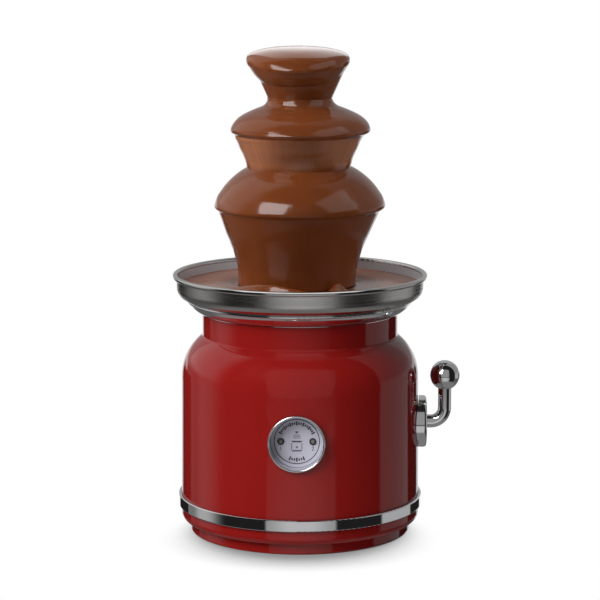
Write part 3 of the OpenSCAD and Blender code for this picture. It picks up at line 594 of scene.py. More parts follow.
@dataclass(frozen=True)
class Moulded(Finish):
    """Moulded plastic, rubber or print with a fine grain."""

    colour: Colour
    second: Colour
    gloss: Point = (0.4, 0.52)
    grain: float = 0.05
    grain_scale: float = 900.0
    tone_scale: float = 30.0
    gloss_scale: float = 60.0

    def lay(self, sheet: MaterialSheet) -> None:
        """Lay out the plastic.

        Args:
            sheet: The material to fill.
        """
        sheet.tones(self.colour, self.second, self.tone_scale)
        sheet.gloss(self.gloss, self.gloss_scale)
        sheet.grain(self.grain_scale, self.grain)


@dataclass(frozen=True)
class WetChocolate(Finish):
    """Melted milk chocolate: wet gloss, soft depth, faint lines along the flow, and a paler tone painted in
    places as light and reflection.
    """

    dark: Colour
    light: Colour
    # pale is the tone of the painted light and reflection
    pale: Colour
    tone_scale: float = 16.0
    gloss: Point = (0.1, 0.15)
    gloss_scale: float = 30.0
    index: float = 1.46
    soft: float = 0.12
    soft_reach: Colour = (1.0, 0.35, 0.12)
    depth: float = 1.2
    lines: float = 26.0
    line_drift: float = 20.0
    line_detail: float = 1.0
    line_depth: float = 0.06

    def paler(self, sheet: MaterialSheet, place: Sequence[Socket], streaks: Socket) -> Socket:
        """Give the mask of the painted light and reflection, from the point's three parts and the streaks."""
        raise NotImplementedError

    def lay(self, sheet: MaterialSheet) -> None:
        """Lay out the chocolate.

        Args:
            sheet: The material to fill.
        """
        sheet.lead("Subsurface Weight", self.soft)
        sheet.lead("Subsurface Radius", self.soft_reach)
        sheet.lead("Subsurface Scale", self.depth * MM)
        sheet.lead("IOR", self.index)
        tone = sheet.tones(self.dark, self.light, self.tone_scale)
        sheet.gloss(self.gloss, self.gloss_scale)
        x, y, z = sheet.split(sheet.place)
        flat = sheet.join(x, y, 0.0)
        turn = sheet.add("ShaderNodeVectorMath", {0: flat}, operation="NORMALIZE").outputs[0]
        feeds = {0: turn, "Scale": self.lines}
        fan_x, fan_y, _ = sheet.split(sheet.add("ShaderNodeVectorMath", feeds, operation="SCALE").outputs[0])
        along = sheet.join(fan_x, fan_y, sheet.times(z, self.line_drift))
        streaks = sheet.noise(along, 1.0, self.line_detail)
        # Painted light: the pale tone goes where the mask lays light or reflection
        sheet.tint(self.paler(sheet, (x, y, z), streaks), tone, self.pale)
        sheet.bump(streaks, self.line_depth)


@dataclass(frozen=True)
class FallingChocolate(WetChocolate):
    """Chocolate on the tower, with a painted reflection: a paler band on the middle curtain that stands in
    for the bright room reflected there.
    """

    painted_sheen_z: Point = (290.0, 316.0)
    painted_sheen_fade: float = 7.0
    painted_sheen_edge: float = 0.6
    swirl: float = 4.0
    swirl_scale: float = 22.0
    swirl_range: Point = (0.2, 0.8)
    streak_range: Point = (0.3, 0.7)
    streak_low: float = 0.78
    painted_sheen_side_x: Point = (8.0, 34.0)
    painted_sheen_middle: float = 0.45

    def paler(self, sheet: MaterialSheet, place: Sequence[Socket], streaks: Socket) -> Socket:
        """Give the mask of the painted reflection on the middle curtain.

        Args:
            sheet: The material to fill.
            place: The three parts of the point.
            streaks: The lines along the flow.

        Returns:
            The mask.
        """
        x, _, z = place
        # Painted reflection: a paler band on the middle curtain with a wavering foot, faded out under the
        # lip, weaker between streaks and across the middle
        foot, top = self.painted_sheen_z
        cloud = sheet.noise(sheet.place, self.swirl_scale)
        drift = sheet.remap(cloud, *self.swirl_range, -self.swirl * MM, self.swirl * MM)
        painted_sheen = sheet.remap(sheet.maths("ADD", z, drift), foot * MM, (foot + self.painted_sheen_fade) * MM)
        below = sheet.remap(z, (top + self.painted_sheen_edge) * MM, (top - self.painted_sheen_edge) * MM)
        lined = sheet.remap(streaks, *self.streak_range, self.streak_low, 1.0)
        near, far = self.painted_sheen_side_x
        thin = sheet.remap(sheet.maths("ABSOLUTE", x), near * MM, far * MM, self.painted_sheen_middle, 1.0)
        for share in (below, lined, thin):
            painted_sheen = sheet.times(painted_sheen, share)
        return painted_sheen


@dataclass(frozen=True)
class StillChocolate(WetChocolate):
    """Chocolate in the bowl, painted paler away from the falls as light and a reflection of the room on the
    pool.
    """

    painted_light_r: Point = (58.0, 70.0)

    def paler(self, sheet: MaterialSheet, place: Sequence[Socket], streaks: Socket) -> Socket:
        """Give the mask of the painted light and reflection on the pool, which the streaks leave alone."""
        # Painted light: the pool turns paler from the first radius out to the second
        start, end = self.painted_light_r
        return sheet.remap(sheet.span(*place[:2]), start * MM, end * MM)


@dataclass(frozen=True)
class LampLens(Finish):
    """Smoked lens, paler in the middle of each of the two lamps."""

    rim: Colour
    middle: Colour
    middle_r: Point = (2.0, 0.9)
    gloss: Point = (0.12, 0.22)
    gloss_scale: float = 40.0
    grain: float = 0.04
    grain_scale: float = 1500.0
    coat: float = 0.6
    coat_rough: float = 0.05

    def lay(self, sheet: MaterialSheet) -> None:
        """Lay out the lens.

        Args:
            sheet: The material to fill.
        """
        centre = sum(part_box("flow_lamp"), Vector()) / 2
        sheet.lead("Coat Weight", self.coat)
        sheet.lead("Coat Roughness", self.coat_rough)
        x, _, z = sheet.split(sheet.place)
        across = sheet.maths("SUBTRACT", sheet.maths("ABSOLUTE", x), centre.x)
        up = sheet.maths("SUBTRACT", z, centre.z)
        outer, inner = self.middle_r
        sheet.tint(sheet.remap(sheet.span(across, up), outer * MM, inner * MM), (*self.rim, 1.0), self.middle)
        sheet.gloss(self.gloss, self.gloss_scale)
        sheet.grain(self.grain_scale, self.grain)


class Finishes:
    """Every finish of the object, built once and handed out by slot.

    The rim's polish is measured down from the bowl's top, the lower edge's up from the collar's top,
    and the satin inside starts a little under the chocolate and ends just past its edge.
    """

    RIM = (-4.0, -3.0)
    EDGE = (3.6, 2.6)
    INSIDE_GAP = 0.7
    INSIDE_DROP = 4.0

    def __init__(self) -> None:
        """Build the materials."""
        effects = Effects()
        bowl_top, collar_top = (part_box(node)[1].z / MM for node in ("bowl", "neck_collar"))
        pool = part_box("chocolate_pool")[1] / MM
        recipes = {
            Slot.RED_PAINT: Enamel("red_enamel", (0.225, 0.0082, 0.0070), (0.245, 0.0094, 0.0080)),
            Slot.CHROME: BrightMetal("bright_chrome", (0.80, 0.80, 0.81), (0.76, 0.76, 0.775)),
            Slot.BOWL_STEEL: SpunSteel(
                "spun_steel",
                (0.58, 0.56, 0.545),
                (0.52, 0.505, 0.49),
                rim=tuple(bowl_top + shift for shift in self.RIM),
                edge=tuple(collar_top + shift for shift in self.EDGE),
                inner_r=pool.x + self.INSIDE_GAP,
                inner_z=pool.z - self.INSIDE_DROP,
            ),
            Slot.STEEL: BrightMetal(
                "plain_steel", (0.50, 0.50, 0.50), (0.44, 0.44, 0.45), (0.26, 0.38), 0.2, 0.02
            ),
            Slot.PLATED_STEEL: BrightMetal(
                "zinc_plate", (0.46, 0.47, 0.49), (0.38, 0.39, 0.42), (0.3, 0.45), 0.2, 0.03
            ),
            Slot.BRONZE: BrightMetal(
                "sintered_bronze", (0.55, 0.36, 0.14), (0.47, 0.30, 0.12), (0.35, 0.5), 0.1, 0.06
            ),
            Slot.RUBBER: Moulded(
                "dark_rubber", (0.022, 0.022, 0.023), (0.032, 0.032, 0.033), (0.62, 0.75), 0.08, 700.0
            ),
            Slot.BLACK_PLASTIC: Moulded("black_plastic", (0.016, 0.016, 0.018), (0.023, 0.023, 0.025)),
            Slot.DIAL_FACE: Moulded(
                "dial_face", (0.44, 0.43, 0.51), (0.49, 0.48, 0.56), (0.42, 0.5), 0.02, 1600.0
            ),
            Slot.LAMP_LENS: LampLens("smoked_lens", (0.03, 0.03, 0.032), (0.15, 0.15, 0.14)),
            Slot.PALE_PLASTIC: Moulded("pale_plastic", (0.62, 0.61, 0.57), (0.67, 0.66, 0.62)),
            Slot.TOWER_PLASTIC: Moulded(
                "tower_plastic", (0.64, 0.62, 0.57), (0.69, 0.67, 0.62), (0.3, 0.4), 0.03
            ),
            # The third tone of each chocolate is painted light: a painted reflection on the middle curtain,
            # and painted light with a reflection on the pool
            Slot.CHOCOLATE: FallingChocolate(
                "wet_chocolate", (0.133, 0.0325, 0.0085), (0.153, 0.0400, 0.0108), (0.32, 0.122, 0.060)
            ),
        }
        still = StillChocolate(
            "still_chocolate", (0.125, 0.0300, 0.0078), (0.140, 0.0360, 0.0095), (0.245, 0.086, 0.041)
        )
        ink = Moulded("dial_ink", (0.018, 0.018, 0.03), (0.028, 0.028, 0.042), (0.5, 0.6), 0.01)
        pale_ink = Moulded("pale_ink", (0.06, 0.06, 0.08), (0.075, 0.075, 0.1), (0.5, 0.6), 0.01)
        self.by_slot = {slot: recipe.make(effects) for slot, recipe in recipes.items()}
        self.still_chocolate = still.make(effects)
        self.ink = ink.make(effects)
        self.pale_ink = pale_ink.make(effects)
        parts = frame["record"]["subparts"]
        self.slots = {part["node"]: Slot(part["material_slot"]) for part in parts}


def put(piece: Piece, body: Body, slot: Slot, *nodes: str) -> None:
    """Hand a finished piece to the frame and report it.

    Args:
        piece: The piece.
        body: The body that it rides on.
        slot: The piece's slot; not used.
        nodes: CAD nodes that it stands for.
    """
    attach(piece, body.value)
    if nodes:
        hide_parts(*nodes)
    log.info("made %s: %d faces, rides %s", piece.name, len(piece.data.polygons), body.value)


def new_piece(name: str) -> Piece:
    """Link a new object with an empty mesh at the origin.

    Args:
        name: Its name.

    Returns:
        The object.
    """
    piece = bpy.data.objects.new(name, bpy.data.meshes.new(name))
    bpy.context.scene.collection.objects.link(piece)
    return piece


def evaluated_mesh(piece: Piece) -> bpy.types.Mesh:
    """Give a plain mesh of what an object's modifiers or letters make."""
    return bpy.data.meshes.new_from_object(piece.evaluated_get(bpy.context.evaluated_depsgraph_get()))


def settle(piece: Piece, tree: Tree, values: Mapping[str, Feed]) -> None:
    """Run a Geometry Nodes tree on a piece once and keep the result as its plain mesh.

    Args:
        piece: The piece.
        tree: The tree.
        values: Values for the tree's named inputs.
    """
    modifier = piece.modifiers.new(tree.name, "NODES")
    modifier.node_group = tree
    for item in tree.interface.items_tree:
        if item.in_out == "INPUT" and item.name in values:
            modifier[item.identifier] = values[item.name]
    mesh = evaluated_mesh(piece)
    piece.modifiers.remove(modifier)
    mesh.name = piece.name
    piece.data = mesh


def fill(piece: Piece, work: Work) -> None:
    """Put a worked mesh with its faces turned outwards into a piece.

    Args:
        piece: The piece.
        work: The mesh, which is freed.
    """
    bmesh.ops.recalc_face_normals(work, faces=work.faces)
    work.to_mesh(piece.data)
    work.free()


def spline(points: Sequence[Point], spacing: float, pattern: Sequence[Point]) -> list[Point]:
    """Sample a smooth curve through points.

    Args:
        points: The points that it passes.
        spacing: Distance between samples.
        pattern: Points whose stretches give the number of samples for each of the curve's stretches;
            past the last of them the curve goes straight to its end.

    Returns:
        The samples, with both end points.
    """
    knots = [Vector(p) for p in points]
    counts = [max(1, round(math.dist(p, q) / spacing)) for p, q in zip(pattern, pattern[1:])]
    if len(knots) < 3:
        count = counts[0]
        return [tuple(knots[0].lerp(knots[-1], i / count)) for i in range(count + 1)]
    knots = [2 * knots[0] - knots[1], *knots, 2 * knots[-1] - knots[-2]]
    samples = []
    for before, start, end, after, count in zip(knots, knots[1:], knots[2:], knots[3:], counts):
        gap = (end - start).length
        leave = (end - before) * gap / max(gap + (start - before).length, TINY)
        arrive = (after - start) * gap / max((after - end).length + gap, TINY)
        for i in range(count):
            t = i / count
            samples.append(tuple(
                start * (2 * t**3 - 3 * t**2 + 1) + leave * (t**3 - 2 * t**2 + t)
                + end * (3 * t**2 - 2 * t**3) + arrive * (t**3 - t**2)
            ))
    samples.append(tuple(knots[-2]))
    return samples


def arc(centre: Point, radius: float, start: float, end: float, count: int) -> list[Point]:
    """Give points on an arc.

    Args:
        centre: Its centre.
        radius: Its radius.
        start: First angle in degrees.
        end: Last angle in degrees.
        count: Number of steps.

    Returns:
        The points.
    """
    angles = [math.radians(start + (end - start) * i / count) for i in range(count + 1)]
    return [(centre[0] + radius * math.cos(a), centre[1] + radius * math.sin(a)) for a in angles]


def bell(value: float, width: float) -> float:
    """Give a smooth hump of height 1 and that half width."""
    return math.exp(-((value / width) ** 2))


def from_front(degrees: float) -> float:
    """Bring an angle between -180 and 180 degrees."""
    return (degrees + 180.0) % 360.0 - 180.0


def between(value: float, table: Sequence[Point]) -> float:
    """Read a value off a table of straight stretches.

    Args:
        value: Where to read it.
        table: Places in rising order, with their values.

    Returns:
        The value there, held past both ends.
    """
    if value <= table[0][0]:
        return table[0][1]
    for (low, first), (high, second) in zip(table, table[1:]):
        if value <= high:
            return first + (second - first) * (value - low) / (high - low)
    return table[-1][1]


def round_axis(radius: float, turn: float, height: float, aside: float = 0.0) -> Vector:
    """Place a point round the tower's axis.

    Args:
        radius: Its distance from the axis.
        turn: Angle from the front in degrees.
        height: Its height.
        aside: Shift to the right.

    Returns:
        The place in metres.
    """
    angle = math.radians(turn)
    return Vector((radius * math.sin(angle) + aside, -radius * math.cos(angle), height)) * MM


def hole_radius(node: str) -> float:
    """Give the radius of the hole round the axis of a CAD node, in millimetres."""
    return min(math.hypot(v.co.x, v.co.y) for v in frame["nodes"][node].data.vertices) / MM


def join_rings(work: Work, upper: Sequence, lower: Sequence, segments: int) -> None:
    """Join two rings of vertices by faces; a ring of one vertex is a pole.

    Args:
        work: The mesh.
        upper: One ring.
        lower: The next ring.
        segments: Number of faces round.
    """
    for i in range(segments):
        j = (i + 1) % segments
        corners = [upper[i % len(upper)], upper[j % len(upper)], lower[j % len(lower)], lower[i % len(lower)]]
        work.faces.new(dict.fromkeys(corners))


@dataclass(frozen=True)
class Assembly:
    """A sub-assembly with the CAD pieces that keep their own shape."""

    nodes: tuple[str, ...]

    def dress(self, finishes: Finishes) -> None:
        """Give the CAD pieces the finish of their slot in the record.

        Args:
            finishes: The finishes.
        """
        for node in self.nodes:
            slot = finishes.slots[node]
            mesh = frame["nodes"][node].data
            mesh.materials.clear()
            mesh.materials.append(finishes.by_slot[slot])
            log.info("dressed %s as %s", node, slot.value)


@dataclass(frozen=True)
class Housing(Assembly):
    """Red plinth and shell with the bright band and collar, and the cover underneath."""

    nodes: tuple[str, ...] = (
        "plinth", "outer_shell", "trim_band", "neck_collar",
        "foot_ring", "bottom_cover", "cover_screws", "cord_grommet",
    )


@dataclass(frozen=True)
class Heater(Assembly):
    """Heating ring under the bowl with its clamp, safety parts, pan and wiring block."""

    nodes: tuple[str, ...] = (
        "heater_ring", "heater_clamp", "clamp_nuts", "thermostat",
        "thermal_fuse", "chassis_pan", "clamp_screws", "terminal_block",
    )


@dataclass(frozen=True)
class Drive(Assembly):
    """Gear motor, shaft and auger."""

    nodes: tuple[str, ...] = (
        "drive_shaft", "drive_pin", "auger_core", "auger_flight", "bearing_bush", "shaft_seal",
        "gearbox_case", "motor_can", "motor_screws",
    )


@dataclass(frozen=True)
class Lever(Assembly):
    """Bright lever at the right side, with its disc and switch."""

    nodes: tuple[str, ...] = (
        "lever_escutcheon", "lever_spindle", "lever_arm", "lever_ball", "rotary_switch", "switch_nut",
    )


@dataclass(frozen=True)
class Run:
    """A stretch of a skin's half section from one corner to the next, as radius and height."""

    points: Sequence[Point]
    shown: bool = True
    sways: bool = True
    spacing: float = 1.1
    front: Sequence[Point] = ()


def hidden(points: Sequence[Point], spacing: float, sways: bool = False) -> Run:
    """Give a run on the inner side of a skin."""
    return Run(points, False, sways, spacing)


@dataclass(frozen=True)
class Swell:
    """A soft ridge or hollow on a skin; a turn of 0 is the front and 90 the right."""

    turn: float
    height: float
    half_turn: float
    half_height: float
    lift: float
    slope: float = 0.0

    def at(self, turn: float, height: float) -> float:
        """Give the lift at a place.

        Args:
            turn: Angle from the front in degrees.
            height: Height.

        Returns:
            The lift there.
        """
        away = from_front(turn - self.turn)
        above = height - self.height - self.slope * away
        return self.lift * bell(away, self.half_turn) * bell(above, self.half_height)


class ReliefTree:
    """Geometry Nodes tree that gives a liquid skin its faint unevenness."""

    SQUEEZE = (1.0, 1.0, 0.45)
    MARK = "shown"

    def __init__(self) -> None:
        """Build the tree with inputs for the relief's height, scale and seed."""
        sheet = GeometrySheet("liquid_relief", {
            "Skin": (Kind.GEOMETRY, None),
            "Amount": (Kind.VALUE, 0.0003),
            "Scale": (Kind.VALUE, 45.0),
            "Seed": (Kind.VALUE, 1.0),
        })
        takes = sheet.takes
        feeds = {0: sheet.add("GeometryNodeInputPosition").outputs[0], 1: self.SQUEEZE}
        squeeze = sheet.add("ShaderNodeVectorMath", feeds, operation="MULTIPLY").outputs[0]
        feeds = {"Vector": squeeze, "W": takes["Seed"], "Scale": takes["Scale"], "Detail": 1.0}
        cloud = sheet.add("ShaderNodeTexNoise", feeds, noise_dimensions="4D").outputs[0]
        feeds = {"Name": self.MARK}
        shown = sheet.add("GeometryNodeInputNamedAttribute", feeds, data_type="FLOAT").outputs[0]
        swing = sheet.times(sheet.maths("SUBTRACT", cloud, 0.5), takes["Amount"])
        normal = sheet.add("GeometryNodeInputNormal").outputs[0]
        feeds = {0: normal, "Scale": sheet.times(swing, shown)}
        shift = sheet.add("ShaderNodeVectorMath", feeds, operation="SCALE").outputs[0]
        feeds = {"Geometry": takes["Skin"], "Offset": shift}
        moved = sheet.add("GeometryNodeSetPosition", feeds).outputs[0]
        self.tree = sheet.end(sheet.add("GeometryNodeSetShadeSmooth", {0: moved}).outputs[0])

    def finish(
        self, work: Work, name: str, amount: float, scale: float, seed: float, finish: Material
    ) -> Piece:
        """Make a piece of a closed liquid mesh and give it its relief.

        Args:
            work: The mesh, which is freed.
            name: The piece's name.
            amount: Height of the relief in millimetres.
            scale: Its scale.
            seed: Its seed.
            finish: The piece's material.

        Returns:
            The piece.
        """
        piece = new_piece(name)
        fill(piece, work)
        values = {"Amount": amount * MM, "Scale": scale, "Seed": seed, "Finish": finish}
        settle(piece, self.tree, values)
        return piece


@dataclass(frozen=True)
class Skin:
    """A closed skin of chocolate turned round the tower's axis."""

    name: str
    runs: Sequence[Run]
    sway: Sequence[Point]
    swells: Sequence[Swell]
    segments: int = 192
    relief: float = 0.2
    relief_scale: float = 45.0
    seed: float = 1.0

    def section(self) -> list[tuple[Point, Point, Run]]:
        """Sample the half section.

        Returns:
            Points, each with its place at the front and the run that it lies on.
        """
        points: list[tuple[Point, Point, Run]] = []
        for run in self.runs:
            sides = spline(run.points, run.spacing, run.points)
            fronts = spline(run.front or run.points, run.spacing, run.points)
            keep = 1 if points and math.dist(points[-1][0], sides[0]) < TINY else 0
            points += [(side, front, run) for side, front in zip(sides[keep:], fronts[keep:])]
        if math.dist(points[0][0], points[-1][0]) < TINY:
            points.pop()
        return points

    def place(self, side: Point, front: Point, turn: float, run: Run) -> Vector:
        """Place a point of the section round the axis.

        Args:
            side: Radius and height away from the front.
            front: Radius and height at the front.
            turn: Angle from the front in degrees.
            run: The run that it lies on.

        Returns:
            The place in metres.
        """
        ahead = max(0.0, math.cos(math.radians(turn))) ** 2
        radius, height = Vector(side).lerp(Vector(front), ahead)
        if run.shown and radius > TINY:
            radius += sum(swell.at(turn, height) for swell in self.swells)
        return round_axis(radius, turn, height, between(height, self.sway) if run.sways else 0.0)

    def build(self, relief: ReliefTree, finish: Material) -> Piece:
        """Turn the section into a piece.

        Args:
            relief: The tree that makes the skin uneven.
            finish: Its material.

        Returns:
            The piece.
        """
        steps = [360.0 * i / self.segments for i in range(self.segments)]
        work = bmesh.new()
        mark = work.verts.layers.float.new(relief.MARK)
        rings = []
        for side, front, run in self.section():
            turns = steps if side[0] > TINY else [0.0]
            ring = [work.verts.new(self.place(side, front, turn, run)) for turn in turns]
            for vert in ring:
                vert[mark] = float(run.shown)
            rings.append(ring)
        pairs = list(zip(rings, rings[1:]))
        if len(rings[0]) > 1:
            pairs.append((rings[-1], rings[0]))
        for upper, lower in pairs:
            join_rings(work, upper, lower, self.segments)
        return relief.finish(work, self.name, self.relief, self.relief_scale, self.seed, finish)


@dataclass(frozen=True)
class Tier:
    """Half section of a tier's plate and of the chocolate dome on it."""

    centre: Point
    dome: float
    edge: float
    painted_sheen: float = 2.3
    plate: float = 1.9
    steps: int = 12

    def around_plate(self, hang: Point, sleeve: float) -> list[Run]:
        """Lead the inner side of a skin round the plate's edge and up to the sleeve.

        Args:
            hang: Where the curtain's inner side ends under the plate.
            sleeve: Radius of the sleeve.

        Returns:
            The runs.
        """
        over = self.dome - self.painted_sheen
        top = math.degrees(math.acos((sleeve - self.centre[0]) / over))
        rise = arc(self.centre, over, self.edge, top, self.steps)
        under = arc(self.centre, over - self.plate, self.edge, self.edge, 1)[0]
        return [hidden((hang, under), 2.0), hidden((under, rise[0]), 1.0), hidden(rise, 2.5)]


@dataclass(frozen=True)
class Tower(Assembly):
    """Tube, cup and two tiers, with the chocolate that wells up and falls over them.

    Each level has the half section of its skin at the sides and, where it differs, at the front,
    then how far it leans sideways at each height, and its swells.
    """

    nodes: tuple[str, ...] = ("tower_tube", "crown_cup", "middle_tier", "lower_tier")
    gap: float = 0.35
    cup_rim: float = 0.5
    crown_lip: Outline = (
        (0.0, 385.2), (12.3, 384.8), (25.0, 383.4), (34.6, 380.9), (39.0, 378.2), (40.5, 374.9),
        (39.9, 371.4), (37.9, 368.4), (36.2, 365.6), (34.0, 362.4), (30.2, 358.4), (26.6, 354.9),
        (25.0, 353.2), (24.5, 351.5),
    )
    crown_lip_front: Outline = (
        (0.0, 385.2), (12.3, 384.5), (25.0, 382.1), (34.0, 377.4), (37.9, 373.4), (39.8, 369.8),
        (40.4, 368.2), (40.4, 366.9), (39.4, 365.2), (37.8, 362.4), (35.6, 359.4), (32.0, 356.5),
        (27.8, 354.3), (25.4, 353.0), (24.5, 351.5),
    )
    crown_ring: Outline = ((24.5, 351.5), (24.5, 350.0), (25.2, 348.2), (25.4, 346.8), (25.0, 345.8))
    crown_foot_z: float = 346.0
    crown_sway: Outline = ((345.0, -0.4), (356.0, -1.0), (372.0, -1.5), (386.0, -1.5))
    crown_swells: tuple[Swell, ...] = (
        Swell(-20.0, 368.0, 60.0, 4.0, 0.3),
        Swell(60.0, 362.0, 50.0, 5.0, -0.4),
        Swell(35.0, 349.6, 26.0, 1.2, 0.4, 0.02),
    )
    middle_plate: Tier = Tier((20.0, 292.0), 46.8, 40.9)
    middle_dome: Outline = (
        (25.0, 348.6), (25.3, 345.4), (25.7, 343.0), (26.9, 340.8), (29.6, 338.7), (35.9, 336.2),
        (41.4, 333.8), (46.0, 331.4), (49.6, 328.8), (52.5, 325.6), (54.2, 322.4), (54.75, 320.4),
        (54.5, 318.9), (53.5, 317.8), (51.8, 317.3),
    )
    middle_dome_front: Outline = (
        (25.0, 348.6), (25.2, 345.4), (25.5, 343.0), (26.0, 341.0), (26.9, 339.2), (28.2, 337.8),
        (30.4, 336.8), (35.5, 335.2), (41.4, 332.9), (46.0, 330.2), (49.6, 327.1), (52.0, 324.2),
        (53.4, 321.9), (54.6, 319.8), (55.05, 318.7), (55.1, 317.9), (51.8, 316.4),
    )
    middle_step: Point = (50.8, 316.3)
    middle_step_front: Point = (50.8, 315.5)
    middle_top: Outline = ((50.0, 314.2), (48.1, 310.4))
    middle_top_front: Outline = ((50.0, 313.7), (48.1, 310.2))
    middle_fall: Outline = (
        (46.2, 305.7), (43.9, 301.0), (42.0, 296.3), (41.0, 292.4), (41.1, 289.6), (42.0, 287.4),
        (43.0, 286.6),
    )
    middle_back: Outline = (
        (39.0, 286.4), (38.4, 292.0), (39.4, 296.3), (41.2, 301.0), (43.5, 305.7), (47.2, 314.6),
        (47.4, 318.6),
    )
    middle_sway: Outline = (
        (287.0, -1.1), (314.0, -1.1), (318.0, 0.2), (326.0, 0.8), (338.0, 0.6), (346.0, -0.4),
    )
    middle_swells: tuple[Swell, ...] = (
        Swell(38.0, 291.5, 46.0, 2.6, 0.9, 0.055),
        Swell(15.0, 301.0, 30.0, 4.6, -0.7, 0.07),
        Swell(-30.0, 303.0, 40.0, 7.0, 0.3),
    )
    lower_plate: Tier = Tier((14.0, 239.15), 58.4, 22.6)
    lower_hub: tuple[float, float, int] = (80.9, 66.0, 5)
    lower_slope: tuple[float, float, int] = (58.5, 33.0, 4)
    lower_lip: Outline = (
        (64.9, 268.0), (66.2, 264.8), (67.0, 261.8), (67.05, 259.9), (66.1, 258.6), (64.6, 258.1),
    )
    lower_lip_front: Outline = (
        (65.0, 267.3), (66.4, 263.5), (67.0, 260.5), (66.8, 259.1), (65.9, 258.2), (64.6, 257.8),
    )
    lower_step: Point = (63.6, 257.2)
    lower_step_front: Point = (63.6, 256.9)
    lower_top: Point = (62.7, 254.8)
    lower_top_front: Point = (62.7, 254.6)
    lower_fall: Outline = (
        (61.3, 251.3), (59.4, 246.5), (56.6, 239.4), (53.5, 232.3), (50.0, 222.7), (47.7, 214.0),
        (46.6, 206.0),
    )
    lower_foot: Point = (46.5, 43.9)
    lower_back: Outline = (
        (44.0, 206.0), (45.1, 214.0), (47.4, 222.7), (50.9, 232.3), (54.0, 239.4), (59.4, 254.0),
        (59.6, 258.8),
    )
    lower_sway: Outline = ((214.0, -2.0), (240.0, -1.5), (256.0, -0.8), (262.0, 0.0), (300.0, 0.0))
    lower_foot_sway: float = -2.4
    lower_swells: tuple[Swell, ...] = (
        Swell(-45.0, 236.0, 50.0, 14.0, 0.4),
        Swell(45.0, 228.0, 40.0, 12.0, -0.4),
        Swell(52.0, 284.0, 26.0, 5.0, 0.4),
    )

    def crown(self, sleeve: float) -> Skin:
        """Lay out the crown's skin round the cup.

        Args:
            sleeve: Inner radius of the skins on the tower's neck.

        Returns:
            The skin.
        """
        cup_low, cup_high = (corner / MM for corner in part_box("crown_cup"))
        rim_r, rim_z = cup_high.x + self.gap, cup_high.z + self.gap
        inner = (self.crown_ring[-1], (sleeve, self.crown_foot_z), (sleeve, cup_low.z - self.gap))
        edge = ((rim_r, rim_z - self.cup_rim), (rim_r, rim_z))
        runs = (
            Run(self.crown_lip, spacing=0.8, front=self.crown_lip_front),
            Run(self.crown_ring, spacing=0.5),
            hidden(inner, 3.0),
            hidden((inner[-1], edge[0]), 3.0),
            hidden(edge, 1.0),
            hidden((edge[1], (0.0, rim_z)), 4.0),
        )
        return Skin("crown_flow", runs, self.crown_sway, self.crown_swells, relief=0.25, seed=3.0)

    def middle(self, sleeve: float) -> Skin:
        """Lay out the skin over the middle tier down to where its curtain lands.

        Args:
            sleeve: Inner radius of the skins on the tower's neck.

        Returns:
            The skin.
        """
        dome, front = self.middle_dome, self.middle_dome_front
        curtain = (self.middle_step, *self.middle_top, *self.middle_fall)
        curtain_front = (self.middle_step_front, *self.middle_top_front, *self.middle_fall)
        plate = self.middle_plate.around_plate(self.middle_back[-1], sleeve)
        neck = (sleeve, dome[0][1])
        runs = (
            Run(dome, spacing=0.7, front=front),
            Run((dome[-1], self.middle_step), spacing=0.4, front=(front[-1], self.middle_step_front)),
            Run(curtain, front=curtain_front),
            hidden((curtain[-1], self.middle_back[0]), 2.0, True),
            hidden(self.middle_back, 2.5, True),
            *plate,
            hidden((plate[-1].points[-1], neck), 2.0),
            hidden((neck, dome[0]), 1.0),
        )
        return Skin("middle_flow", runs, self.middle_sway, self.middle_swells, seed=7.0)

    def lower(self, sleeve: float) -> Skin:
        """Lay out the skin over the lower tier down to the pool.

        Args:
            sleeve: Inner radius of the skins on the tower's neck.

        Returns:
            The skin.
        """
        foot_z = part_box("lower_chocolate")[0].z / MM
        foot, foot_in = ((radius, foot_z) for radius in self.lower_foot)
        tier = self.lower_plate
        hub = arc(tier.centre, tier.dome, *self.lower_hub)
        slope = arc(tier.centre, tier.dome, *self.lower_slope)
        curtain = (self.lower_step, self.lower_top, *self.lower_fall, foot)
        curtain_front = (self.lower_step_front, self.lower_top_front, *self.lower_fall, foot)
        lip, lip_front = self.lower_lip[-1], self.lower_lip_front[-1]
        plate = tier.around_plate(self.lower_back[-1], sleeve)
        runs = (
            Run((*hub, *slope, *self.lower_lip), spacing=0.7, front=(*hub, *slope, *self.lower_lip_front)),
            Run((lip, self.lower_step), spacing=0.4, front=(lip_front, self.lower_step_front)),
            Run(curtain, spacing=1.2, front=curtain_front),
            hidden((foot, foot_in), 1.5, True),
            hidden((foot_in, *self.lower_back), 3.0, True),
            *plate,
            hidden((plate[-1].points[-1], hub[0]), 1.0),
        )
        sway = ((foot_z, self.lower_foot_sway), *self.lower_sway)
        return Skin("lower_flow", runs, sway, self.lower_swells, seed=11.0)

    def build(self, relief: ReliefTree, finishes: Finishes) -> list[Piece]:
        """Make the three falls.

        Args:
            relief: The tree that makes a skin uneven.
            finishes: The finishes.

        Returns:
            The falls.
        """
        sleeve = hole_radius("middle_chocolate")
        levels = {
            "crown_chocolate": self.crown(sleeve),
            "middle_chocolate": self.middle(sleeve),
            "lower_chocolate": self.lower(sleeve),
        }
        falls = []
        for node, skin in levels.items():
            falls.append(skin.build(relief, finishes.by_slot[Slot.CHOCOLATE]))
            put(falls[-1], Body.TOWER, Slot.CHOCOLATE, node)
        return falls


